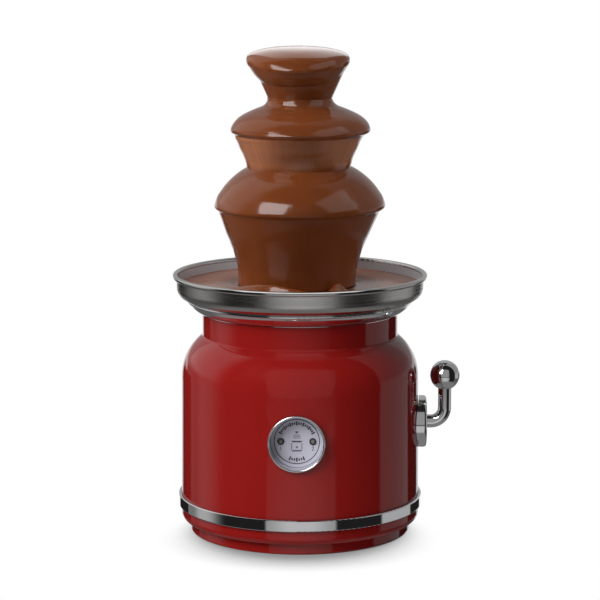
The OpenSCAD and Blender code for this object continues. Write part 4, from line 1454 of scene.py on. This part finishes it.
@dataclass(frozen=True)
class Bowl(Assembly):
    """The bowl and the melted chocolate in it, drawn up in a wave and a lump where the falls meet it.

    The wave's crest is a table of turns and radii; the hole for the falls is shifted sideways with them.
    """

    nodes: tuple[str, ...] = ("bowl",)
    level_drop: float = 0.6
    hole_shift: float = -2.4
    shift_fade: Point = (6.0, 30.0)
    hole_drop: float = 0.5
    lip_r: float = 47.3
    lip_margin: float = 0.2
    lip_h: float = 0.8
    lip_fade: float = 3.0
    wave: Outline = ((-80.0, 50.0), (-44.0, 51.5), (-10.0, 55.5), (14.0, 57.0), (40.0, 58.0))
    wave_h: float = 7.6
    wave_turn: float = -22.0
    wave_spread: float = 34.0
    wave_w: float = 2.4
    trough_share: float = 0.4
    trough_shift: float = 5.0
    trough_w: float = 3.0
    lump_turn: float = 38.0
    lump_spread: float = 8.0
    lump_r: float = 53.0
    lump_w: float = 3.0
    lump_h: float = 7.4
    meniscus: float = 0.6
    meniscus_fade: float = 1.4
    wall_gap: float = 0.4
    edge_r: float = 8.1
    edge_steps: int = 6
    sump_r: float = 63.7
    sump_h: float = 11.0
    rings: int = 84
    crowding: float = 1.25
    segments: int = 192
    relief: float = 0.2
    relief_scale: float = 28.0
    relief_margin: float = 2.0
    seed: float = 5.0

    def surface(self, radius: float, turn: float, level: float, wall_r: float) -> float:
        """Give the height of the chocolate at a place.

        Args:
            radius: Distance from the middle of the falls.
            turn: Angle from the front in degrees.
            level: Height of the resting surface.
            wall_r: Radius of the bowl's wall.

        Returns:
            The height.
        """
        if radius < self.lip_r - self.lip_margin:
            return level - self.hole_drop
        away = from_front(turn)
        lip = self.lip_h * math.exp(-(radius - self.lip_r) / self.lip_fade)
        crest = radius - between(away, self.wave)
        trough = self.trough_share * bell(crest - self.trough_shift, self.trough_w)
        wave = self.wave_h * bell(away - self.wave_turn, self.wave_spread)
        wave *= bell(crest, self.wave_w) - trough
        lump = self.lump_h * bell(away - self.lump_turn, self.lump_spread)
        lump *= bell(radius - self.lump_r, self.lump_w)
        edge = self.meniscus * math.exp(-(wall_r - radius) / self.meniscus_fade)
        return level + lip + wave + lump + edge

    def build(self, relief: ReliefTree, finishes: Finishes) -> Piece:
        """Make the pool.

        Args:
            relief: The tree that makes a skin uneven.
            finishes: The finishes.

        Returns:
            The pool.
        """
        low, high = (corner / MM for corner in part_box("chocolate_pool"))
        level, wall_r, sump_z = high.z - self.level_drop, high.x, low.z
        hole_r, floor_z = hole_radius("chocolate_pool"), sump_z + self.sump_h
        edge_centre = (wall_r - self.edge_r - self.wall_gap, floor_z + self.edge_r)
        under = [
            *arc(edge_centre, self.edge_r, 0.0, -90.0, self.edge_steps),
            (self.sump_r, floor_z), (self.sump_r, sump_z), (hole_r, sump_z),
        ]
        turns = [360.0 * i / self.segments for i in range(self.segments)]
        near, far = self.shift_fade
        work = bmesh.new()
        mark = work.verts.layers.float.new(relief.MARK)
        rows = []
        for i in range(self.rings + 1):
            radius = hole_r + (wall_r - hole_r) * (1.0 - (1.0 - i / self.rings) ** self.crowding)
            aside = self.hole_shift * min(1.0, (wall_r - radius) / far) * min(1.0, (radius - hole_r) / near)
            places = [round_axis(radius, t, self.surface(radius, t, level, wall_r), aside) for t in turns]
            rows.append([work.verts.new(place) for place in places])
            for vert in rows[-1]:
                vert[mark] = float(radius > self.lip_r + self.relief_margin)
        for radius, height in under:
            rows.append([work.verts.new(round_axis(radius, turn, height)) for turn in turns])
        for upper, lower in zip(rows, [*rows[1:], rows[0]]):
            join_rings(work, upper, lower, self.segments)
        finish = finishes.still_chocolate
        pool = relief.finish(work, "chocolate_surface", self.relief, self.relief_scale, self.seed, finish)
        put(pool, Body.BASE, Slot.CHOCOLATE, "chocolate_pool")
        return pool


class MarksTree:
    """Geometry Nodes tree that sets printed marks in an arc on the dial, each third one long."""

    EVERY = 3.0
    SHORT = 0.55

    def __init__(self) -> None:
        """Build the tree with inputs for the arc and the mark's sizes."""
        sheet = GeometrySheet("dial_marks", {
            "Count": (Kind.COUNT, 12),
            "Radius": (Kind.VALUE, 0.015),
            "Start": (Kind.VALUE, 0.0),
            "Sweep": (Kind.VALUE, 1.0),
            "Width": (Kind.VALUE, 0.0005),
            "Length": (Kind.VALUE, 0.002),
            "Ink": (Kind.VALUE, 0.00004),
            "Middle": (Kind.VECTOR, None),
        })
        takes = sheet.takes
        index = sheet.add("GeometryNodeInputIndex").outputs[0]
        share = sheet.maths("DIVIDE", index, sheet.maths("SUBTRACT", takes["Count"], 1.0))
        angle = sheet.maths("ADD", takes["Start"], sheet.times(share, takes["Sweep"]))
        across = sheet.times(sheet.maths("SINE", angle), takes["Radius"])
        up = sheet.times(sheet.maths("COSINE", angle), takes["Radius"])
        feeds = {0: takes["Count"], 1: sheet.join(across, 0.0, up)}
        points = sheet.add("GeometryNodePoints", feeds).outputs[0]
        long_mark = sheet.maths("LESS_THAN", sheet.maths("MODULO", index, self.EVERY), 0.5)
        size = sheet.join(takes["Width"], takes["Ink"], takes["Length"])
        feeds = {
            "Points": points,
            "Instance": sheet.add("GeometryNodeMeshCube", {0: size}).outputs[0],
            "Rotation": sheet.add("FunctionNodeEulerToRotation", {0: sheet.join(0.0, angle, 0.0)}).outputs[0],
            "Scale": sheet.join(1.0, 1.0, sheet.pick(long_mark, self.SHORT, 1.0)),
        }
        marks = sheet.add("GeometryNodeInstanceOnPoints", feeds).outputs[0]
        feeds = {"Geometry": marks, "Translation": takes["Middle"]}
        self.tree = sheet.end(sheet.add("GeometryNodeTransform", feeds).outputs[0])


class RimsTree:
    """Geometry Nodes tree that sets a round rim on each of two lamps."""

    LAMPS = 2
    RING_STEPS = 48
    SECTION_STEPS = 12

    def __init__(self) -> None:
        """Build the tree with inputs for the rim's sizes and the lamps' places."""
        sheet = GeometrySheet("lamp_rims", {
            "Offset": (Kind.VALUE, 0.012),
            "Radius": (Kind.VALUE, 0.0023),
            "Section": (Kind.VALUE, 0.0005),
            "Middle": (Kind.VECTOR, None),
        })
        takes = sheet.takes
        circle = "GeometryNodeCurvePrimitiveCircle"
        path = sheet.add(circle, {"Resolution": self.RING_STEPS, "Radius": takes["Radius"]}).outputs[0]
        section = sheet.add(circle, {"Resolution": self.SECTION_STEPS, "Radius": takes["Section"]}).outputs[0]
        ring = sheet.add("GeometryNodeCurveToMesh", {"Curve": path, "Profile Curve": section}).outputs[0]
        index = sheet.add("GeometryNodeInputIndex").outputs[0]
        side = sheet.maths("SUBTRACT", sheet.times(index, 2.0), 1.0)
        across = sheet.join(sheet.times(side, takes["Offset"]), 0.0, 0.0)
        feeds = {
            "Points": sheet.add("GeometryNodePoints", {0: self.LAMPS, 1: across}).outputs[0],
            "Instance": sheet.add("GeometryNodeSetShadeSmooth", {0: ring}).outputs[0],
            "Rotation": sheet.add("FunctionNodeEulerToRotation", {0: (math.pi / 2, 0.0, 0.0)}).outputs[0],
        }
        rims = sheet.add("GeometryNodeInstanceOnPoints", feeds).outputs[0]
        feeds = {"Geometry": rims, "Translation": takes["Middle"]}
        self.tree = sheet.end(sheet.add("GeometryNodeTransform", feeds).outputs[0])


@dataclass(frozen=True)
class Bar:
    """A bar of the dial's sign; its lower edge may be a share of its width."""

    width: float
    z: float
    height: float
    lower: float = 1.0
    x: float = 0.0

    def outline(self) -> list[Point]:
        """Give the bar's outline.

        Returns:
            Its corners, measured right and up from the dial's middle.
        """
        top, foot, half = self.width / 2, self.width / 2 * self.lower, self.height / 2
        corners = ((-foot, -half), (foot, -half), (top, half), (-top, half))
        return [(self.x + right, self.z + up) for right, up in corners]


@dataclass(frozen=True)
class Gauge(Assembly):
    """The round indicator on the front: bezel, printed dial, lamps and their rims.

    An arc of marks has its piece's name, the number of marks, the first angle and the sweep.
    """

    nodes: tuple[str, ...] = ("gauge_bezel", "dial_plate", "heat_lamp", "flow_lamp", "lamp_housing")
    circle_r: float = 16.9
    circle_w: float = 0.65
    circle_steps: int = 96
    arcs: tuple[tuple[str, int, float, float], ...] = (
        ("dial_marks_upper", 19, -62.0, 124.0),
        ("dial_marks_lower", 7, 158.0, 44.0),
    )
    marks_r: float = 14.1
    mark_w: float = 1.15
    mark_l: float = 3.1
    ink: float = 0.04
    weld: float = 0.001
    rim_r: float = 2.2
    rim_section: float = 0.5
    rim_proud: float = 0.35
    numeral_h: float = 4.4
    numeral_drop: float = 6.9
    sign: tuple[Bar, ...] = (
        Bar(2.6, 7.2, 1.5, 0.6),
        Bar(4.6, 5.1, 0.45),
        Bar(5.4, 3.9, 0.45),
        Bar(6.0, 2.7, 0.45),
        Bar(8.6, 0.0, 1.3, 0.75),
        Bar(7.6, -7.2, 1.0, 0.85),
        Bar(0.5, -4.0, 5.6, x=-3.9),
        Bar(0.5, -4.0, 5.6, x=3.9),
    )
    knob_r: float = 0.75
    knob_z: float = -4.4
    knob_steps: int = 16

    @property
    def face(self) -> Vector:
        """Give the middle of the dial's face."""
        low, high = (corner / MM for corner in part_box("dial_plate"))
        return Vector((0.0, low.y, (low.z + high.z) / 2))

    @property
    def lamp_offset(self) -> float:
        """Give a lamp's distance from the dial's middle."""
        low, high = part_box("flow_lamp")
        return (low.x + high.x) / 2 / MM

    def proud(self, height: float) -> Vector:
        """Give the place that far in front of the middle of the dial's face, in metres."""
        return (self.face - Vector((0.0, height, 0.0))) * MM

    def patch(self, work: Work, outline: Sequence[Point]) -> None:
        """Add a printed patch to a mesh.

        Args:
            work: The mesh.
            outline: Its corners on the dial, measured right and up from the middle.
        """
        front, back = (
            [work.verts.new(self.proud(height) + Vector((x, 0.0, z)) * MM) for x, z in outline]
            for height in (self.ink, 0.0)
        )
        work.faces.new(front)
        work.faces.new(back[::-1])
        for i, corner in enumerate(front):
            j = (i + 1) % len(front)
            work.faces.new((corner, back[i], back[j], front[j]))

    def circle(self) -> Iterable[list[Point]]:
        """Give the printed circle as short patches.

        Returns:
            The outlines of the patches.
        """
        step = 360.0 / self.circle_steps
        for i in range(self.circle_steps):
            ends = (step * i, step * (i + 1))
            inner = arc((0.0, 0.0), self.circle_r, *ends, 1)
            outer = arc((0.0, 0.0), self.circle_r + self.circle_w, *ends, 1)
            yield [*inner, *reversed(outer)]

    def pictogram(self) -> Iterable[list[Point]]:
        """Give the plain sign of a fountain: three tiers, a bowl and a body with a knob.

        Returns:
            The outlines of the sign's parts.
        """
        yield from (bar.outline() for bar in self.sign)
        yield arc((0.0, self.knob_z), self.knob_r, 0.0, 360.0, self.knob_steps)[:-1]

    def numeral(self, digit: str, x: float) -> bpy.types.Mesh:
        """Make a plain numeral under a lamp.

        Args:
            digit: The numeral.
            x: Its place across the dial.

        Returns:
            Its mesh, in place.
        """
        letters = bpy.data.curves.new("numeral", "FONT")
        letters.body = digit
        letters.align_x = "CENTER"
        letters.size = self.numeral_h * MM
        letters.extrude = self.ink / 2 * MM
        maker = bpy.data.objects.new("numeral", letters)
        bpy.context.scene.collection.objects.link(maker)
        mesh = evaluated_mesh(maker)
        bpy.data.objects.remove(maker)
        place = self.proud(self.ink / 2) + Vector((x, 0.0, -self.numeral_drop)) * MM
        mesh.transform(Matrix.Translation(place) @ Matrix.Rotation(math.pi / 2, 4, "X"))
        return mesh

    def print_on(
        self, name: str, ink: Material, patches: Iterable[list[Point]], meshes: Sequence[bpy.types.Mesh] = ()
    ) -> Piece:
        """Make a printed piece of patches and ready meshes.

        Args:
            name: The piece's name.
            ink: Its material.
            patches: Outlines of printed patches.
            meshes: Meshes already in place.

        Returns:
            The piece.
        """
        work = bmesh.new()
        for outline in patches:
            self.patch(work, outline)
        for mesh in meshes:
            work.from_mesh(mesh)
        bmesh.ops.remove_doubles(work, verts=work.verts, dist=self.weld * MM)
        piece = new_piece(name)
        fill(piece, work)
        piece.data.materials.append(ink)
        put(piece, Body.BASE, Slot.DIAL_FACE)
        return piece

    def build(self, finishes: Finishes) -> list[Piece]:
        """Make the print and the lamp rims.

        Args:
            finishes: The finishes.

        Returns:
            The pieces.
        """
        pieces = []
        tree = MarksTree().tree
        for name, count, start, sweep in self.arcs:
            marks = new_piece(name)
            settle(marks, tree, {
                "Count": count,
                "Radius": self.marks_r * MM,
                "Start": math.radians(start),
                "Sweep": math.radians(sweep),
                "Width": self.mark_w * MM,
                "Length": self.mark_l * MM,
                "Ink": self.ink * MM,
                "Middle": self.proud(self.ink / 2),
                "Finish": finishes.ink,
            })
            put(marks, Body.BASE, Slot.DIAL_FACE)
            pieces.append(marks)
        digits = (self.numeral("1", -self.lamp_offset), self.numeral("2", self.lamp_offset))
        pieces.append(self.print_on("dial_circle", finishes.ink, self.circle()))
        pieces.append(self.print_on("dial_numerals", finishes.ink, (), digits))
        pieces.append(self.print_on("dial_sign", finishes.pale_ink, self.pictogram()))
        rims = new_piece("lamp_rims")
        settle(rims, RimsTree().tree, {
            "Offset": self.lamp_offset * MM,
            "Radius": self.rim_r * MM,
            "Section": self.rim_section * MM,
            "Middle": self.proud(self.rim_proud),
            "Finish": finishes.by_slot[Slot.BLACK_PLASTIC],
        })
        put(rims, Body.BASE, Slot.BLACK_PLASTIC)
        return [*pieces, rims]


class Group(Enum):
    """Groups of pieces that lamps are linked to."""

    DRY = "dry"
    CROWN = "crown"
    POOL = "pool"
    WET = "wet"
    BRIGHT = "bright"
    RIM = "rim"


class Use(Enum):
    """What a lamp is for: to light its pieces, or to show in their gloss."""

    LIGHT = "light"
    GLEAM = "gleam"


@dataclass(frozen=True)
class Lamp:
    """A studio lamp: the pieces that it serves, where it hangs, its size in metres and its brightness."""

    name: str
    group: Group
    use: Use
    turn: float
    rise: float
    distance: float
    width: float
    height: float
    radiance: float

    def build(self, aim: Vector, pieces: bpy.types.Collection) -> None:
        """Hang the lamp.

        Args:
            aim: The point that it shines at.
            pieces: The pieces that it lights, or that show it as a gleam.
        """
        light = bpy.data.lights.new(self.name, "AREA")
        light.shape = "RECTANGLE"
        light.size, light.size_y = self.width, self.height
        light.energy = self.radiance * math.pi * self.width * self.height
        lamp = bpy.data.objects.new(self.name, light)
        bpy.context.scene.collection.objects.link(lamp)
        turn, rise = math.radians(self.turn), math.radians(self.rise)
        way = Vector((math.sin(turn) * math.cos(rise), -math.cos(turn) * math.cos(rise), math.sin(rise)))
        lamp.location = aim + way * self.distance
        lamp.rotation_euler = way.to_track_quat("Z", "Y").to_euler()
        lamp.visible_camera = False
        lamp.visible_glossy = self.use is Use.GLEAM
        lamp.visible_diffuse = self.use is Use.LIGHT
        lamp.light_linking.receiver_collection = pieces


@dataclass(frozen=True)
class Room:
    """The room round the object: white to the camera, cards and screens to gloss, even light to the rest.

    Brightness fields come first. Each pair is an edge: the two angles in degrees, from the front or
    from the level, between which one brightness goes over into the next.
    """

    ambient: float = 0.12
    screen: float = 0.015
    front_low: float = 0.5
    front_high: float = 0.1
    front_middle: float = 1.12
    front_side: float = 0.7
    wall: float = 0.45
    wall_low: float = 0.12
    left_high: float = 0.78
    right_high: float = 0.3
    far_left_share: float = 0.45
    back_low: float = 1.0
    back_high: float = 0.42
    under: float = 0.22
    front_turn: float = 2.5
    front_fade: Point = (8.0, 33.0)
    front_edge: Point = (30.5, 35.5)
    front_seam: Point = (-15.0, -9.0)
    front_top: Point = (36.0, 64.0)
    halves: Point = (-40.0, 40.0)
    far_left: Point = (-120.0, -106.0)
    left_edge: Point = (-68.0, -104.0)
    right_edge: Point = (82.5, 87.5)
    wall_foot: Point = (-21.0, -17.0)
    wall_seam: Point = (-1.0, 9.0)
    back_edge: Point = (142.5, 145.5)
    back_seam: Point = (-2.0, 2.0)
    back_top: Point = (50.0, 74.0)
    flag_start: Point = (128.5, 131.5)
    flag_end: Point = (156.5, 159.5)
    flag_top: Point = (-5.5, -2.5)
    under_edge: Point = (-50.0, -34.0)

    def build(self, scene: bpy.types.Scene) -> None:
        """Make the world.

        Args:
            scene: The scene.
        """
        world = bpy.data.worlds.new("studio")
        world.use_nodes = True
        scene.world = world
        sheet = NodeSheet(world.node_tree)
        path = sheet.add("ShaderNodeLightPath").outputs
        seen = sheet.maths("MAXIMUM", path["Is Camera Ray"], path["Is Transmission Ray"])
        unseen = sheet.pick(path["Is Glossy Ray"], self.ambient, self._cards(sheet))
        feeds = {"Color": (1.0, 1.0, 1.0, 1.0), "Strength": sheet.pick(seen, unseen, 1.0)}
        back = sheet.add("ShaderNodeBackground", feeds)
        sheet.add("ShaderNodeOutputWorld", {"Surface": back.outputs[0]})

    def _cards(self, sheet: NodeSheet) -> Socket:
        """Lay out the cards, walls and screens that gloss shows.

        Args:
            sheet: The world's nodes.

        Returns:
            The brightness in each direction.
        """
        x, y, z = sheet.split(sheet.add("ShaderNodeTexCoord").outputs["Generated"])
        turn = sheet.maths("ARCTAN2", x, sheet.times(y, -1.0))
        away = sheet.maths("ABSOLUTE", turn)
        ahead = sheet.maths("ABSOLUTE", sheet.maths("SUBTRACT", turn, math.radians(self.front_turn)))
        rise = sheet.maths("ARCSINE", z)

        def past(angle: Socket, edge: Point, before: float = 0.0, after: float = 1.0) -> Socket:
            """Go over from one number to another between an edge's two angles."""
            return sheet.remap(angle, *map(math.radians, edge), before, after)

        def seam(angle: Socket, edge: Point, before: Feed, after: Feed) -> Socket:
            """Join two brightnesses at an edge."""
            return sheet.pick(past(angle, edge), before, after)

        front = seam(rise, self.front_seam, self.front_low, self.front_high)
        front = seam(rise, self.front_top, front, self.screen)
        front = sheet.times(front, past(ahead, self.front_fade, self.front_middle, self.front_side))
        room = seam(ahead, self.front_edge, front, self.screen)
        high = seam(turn, self.halves, self.left_high, self.right_high)
        low = sheet.times(self.wall, past(turn, self.far_left, self.far_left_share))
        wall = seam(rise, self.wall_foot, self.wall_low, seam(rise, self.wall_seam, low, high))
        aside = sheet.maths("MAXIMUM", past(turn, self.left_edge), past(turn, self.right_edge))
        room = sheet.pick(aside, room, wall)
        back = seam(rise, self.back_seam, self.back_low, self.back_high)
        back = seam(rise, self.back_top, seam(rise, self.wall_foot, self.wall_low, back), self.screen)
        room = seam(away, self.back_edge, room, back)
        flag = sheet.maths("SUBTRACT", past(away, self.flag_start), past(away, self.flag_end))
        band = sheet.maths("SUBTRACT", past(rise, self.wall_foot), past(rise, self.flag_top))
        room = sheet.pick(sheet.times(flag, band), room, self.screen)
        return seam(rise, self.under_edge, self.under, room)


@dataclass(frozen=True)
class Studio:
    """Camera, lamps, pale floor and the room; distances in metres, angles in degrees."""

    camera_turn: float = 1.6
    camera_distance: float = 1.7664
    camera_height: float = 0.4737
    camera_pitch: float = 9.279
    camera_reach: float = 50.0
    lens: float = 135.73
    sensor: float = 36.0
    floor_half: float = 3.0
    floor_cells: int = 8
    floor_tone: float = 0.6
    shadow_reach: float = 0.055
    shadow_lean: tuple[float, float, float] = (0.0, 0.85, 0.53)
    shadow_range: Point = (0.1, 0.8)
    shadow_dark: float = 0.2
    shadow_samples: int = 24
    room: Room = Room()
    lamps: tuple[Lamp, ...] = (
        Lamp("key_softbox", Group.DRY, Use.LIGHT, -42.0, 34.0, 1.3, 0.8, 0.8, 9.8),
        Lamp("top_softbox", Group.DRY, Use.LIGHT, 0.0, 80.0, 1.6, 1.1, 1.1, 1.7),
        Lamp("front_card", Group.DRY, Use.GLEAM, 2.5, 20.0, 1.6, 2.0, 1.8, 0.22),
        Lamp("wet_left", Group.WET, Use.LIGHT, -70.0, 32.0, 1.3, 0.8, 0.8, 10.2),
        Lamp("wet_right", Group.WET, Use.LIGHT, 82.0, 34.0, 1.3, 0.8, 0.8, 4.2),
        Lamp("wet_top", Group.WET, Use.LIGHT, 0.0, 80.0, 1.6, 1.1, 1.1, 1.2),
        Lamp("wet_gleam", Group.WET, Use.GLEAM, -38.0, 32.0, 1.15, 0.72, 0.72, 7.0),
        Lamp("wet_patch", Group.WET, Use.GLEAM, 64.0, 39.0, 1.2, 1.0, 0.9, 0.85),
        Lamp("crown_back", Group.CROWN, Use.GLEAM, 180.0, 45.0, 1.4, 1.1, 1.6, 1.6),
        Lamp("bright_gleam", Group.BRIGHT, Use.GLEAM, -38.0, 32.0, 1.15, 0.72, 0.72, 7.0),
        Lamp("pool_top", Group.POOL, Use.LIGHT, 0.0, 70.0, 1.3, 1.0, 1.0, 1.9),
        Lamp("rim_fill", Group.RIM, Use.LIGHT, 0.0, 40.0, 1.3, 1.2, 1.2, 3.4),
        Lamp("rim_strip", Group.RIM, Use.GLEAM, 0.0, 66.0, 1.3, 2.4, 0.7, 1.6),
    )

    def build(self, pieces: Mapping[Group, Iterable[Piece]]) -> None:
        """Set up everything round the object.

        Args:
            pieces: The pieces of each group.
        """
        scene = bpy.context.scene
        scene.view_settings.view_transform = "Standard"
        self._camera(scene)
        self.room.build(scene)
        floor = self._floor()
        groups = {}
        for group in Group:
            groups[group] = bpy.data.collections.new(group.value)
            for piece in pieces[group]:
                groups[group].objects.link(piece)
        groups[Group.DRY].objects.link(floor)
        low, high = CAD_BOX
        for lamp in self.lamps:
            lamp.build((low + high) / 2, groups[lamp.group])
        log.info("studio ready")

    def _camera(self, scene: bpy.types.Scene) -> None:
        """Place the camera at the photograph's viewing angle.

        Args:
            scene: The scene.
        """
        lens = bpy.data.cameras.new("camera")
        lens.lens = self.lens
        lens.sensor_width = self.sensor
        lens.clip_end = self.camera_reach
        camera = bpy.data.objects.new("camera", lens)
        scene.collection.objects.link(camera)
        turn = math.radians(self.camera_turn)
        out = self.camera_distance
        camera.location = (out * math.sin(turn), -out * math.cos(turn), self.camera_height)
        camera.rotation_euler = (math.radians(90.0 - self.camera_pitch), 0.0, turn)
        scene.camera = camera

    def _floor(self) -> Piece:
        """Lay the pale floor, which runs into the white room and whose shadow near the object is painted into
        its glow from ambient occlusion.

        Returns:
            The floor.
        """
        work = bmesh.new()
        cells = self.floor_cells
        bmesh.ops.create_grid(work, x_segments=cells, y_segments=cells, size=self.floor_half)
        floor = new_piece("floor")
        work.to_mesh(floor.data)
        work.free()
        material = bpy.data.materials.new("pale_floor")
        material.use_nodes = True
        sheet = NodeSheet(material.node_tree)
        # Painted shadow: to the camera the floor glows white, dimmed by ambient occlusion leaning towards the
        # object, so its contact shadow is painted rather than cast
        feeds = {"Distance": self.shadow_reach, "Normal": sheet.join(*self.shadow_lean)}
        painted_shadow_ao = sheet.add("ShaderNodeAmbientOcclusion", feeds, samples=self.shadow_samples).outputs["AO"]
        painted_shadow = sheet.remap(painted_shadow_ao, *self.shadow_range, self.shadow_dark, 1.0)
        white = sheet.add("ShaderNodeEmission", {"Strength": painted_shadow}).outputs[0]
        tone = (self.floor_tone, self.floor_tone, self.floor_tone, 1.0)
        matt = sheet.add("ShaderNodeBsdfDiffuse", {"Color": tone}).outputs[0]
        seen = sheet.add("ShaderNodeLightPath").outputs["Is Camera Ray"]
        mixed = sheet.add("ShaderNodeMixShader", {0: seen, 1: matt, 2: white}).outputs[0]
        sheet.add("ShaderNodeOutputMaterial", {"Surface": mixed})
        floor.data.materials.append(material)
        floor.visible_glossy = False
        floor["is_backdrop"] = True
        return floor


def note_sizes() -> None:
    """Collect the CAD model's box and the dressed model's box, in metres, without keeping them."""
    boxes = {"cad": CAD_BOX, "visual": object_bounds()}
    {name: [list(corner) for corner in box] for name, box in boxes.items()}


def main() -> None:
    """Build the finishes, the sub-assemblies and the studio, in that order."""
    logging.basicConfig(level=logging.INFO, format="%(message)s")
    finishes = Finishes()
    relief = ReliefTree()
    lever, tower, bowl, gauge = Lever(), Tower(), Bowl(), Gauge()
    for unit in (Housing(), Heater(), Drive(), lever, tower, bowl, gauge):
        unit.dress(finishes)
    falls = tower.build(relief, finishes)
    pool = bowl.build(relief, finishes)
    prints = gauge.build(finishes)
    nodes = frame["nodes"]
    Studio().build({
        Group.DRY: [*nodes.values(), *prints],
        Group.CROWN: falls[:1],
        Group.POOL: [pool],
        Group.WET: [*falls, pool],
        Group.BRIGHT: [nodes[name] for name in lever.nodes + gauge.nodes],
        Group.RIM: [nodes[name] for name in bowl.nodes],
    })
    note_sizes()


if __name__ == "__main__":
    main()
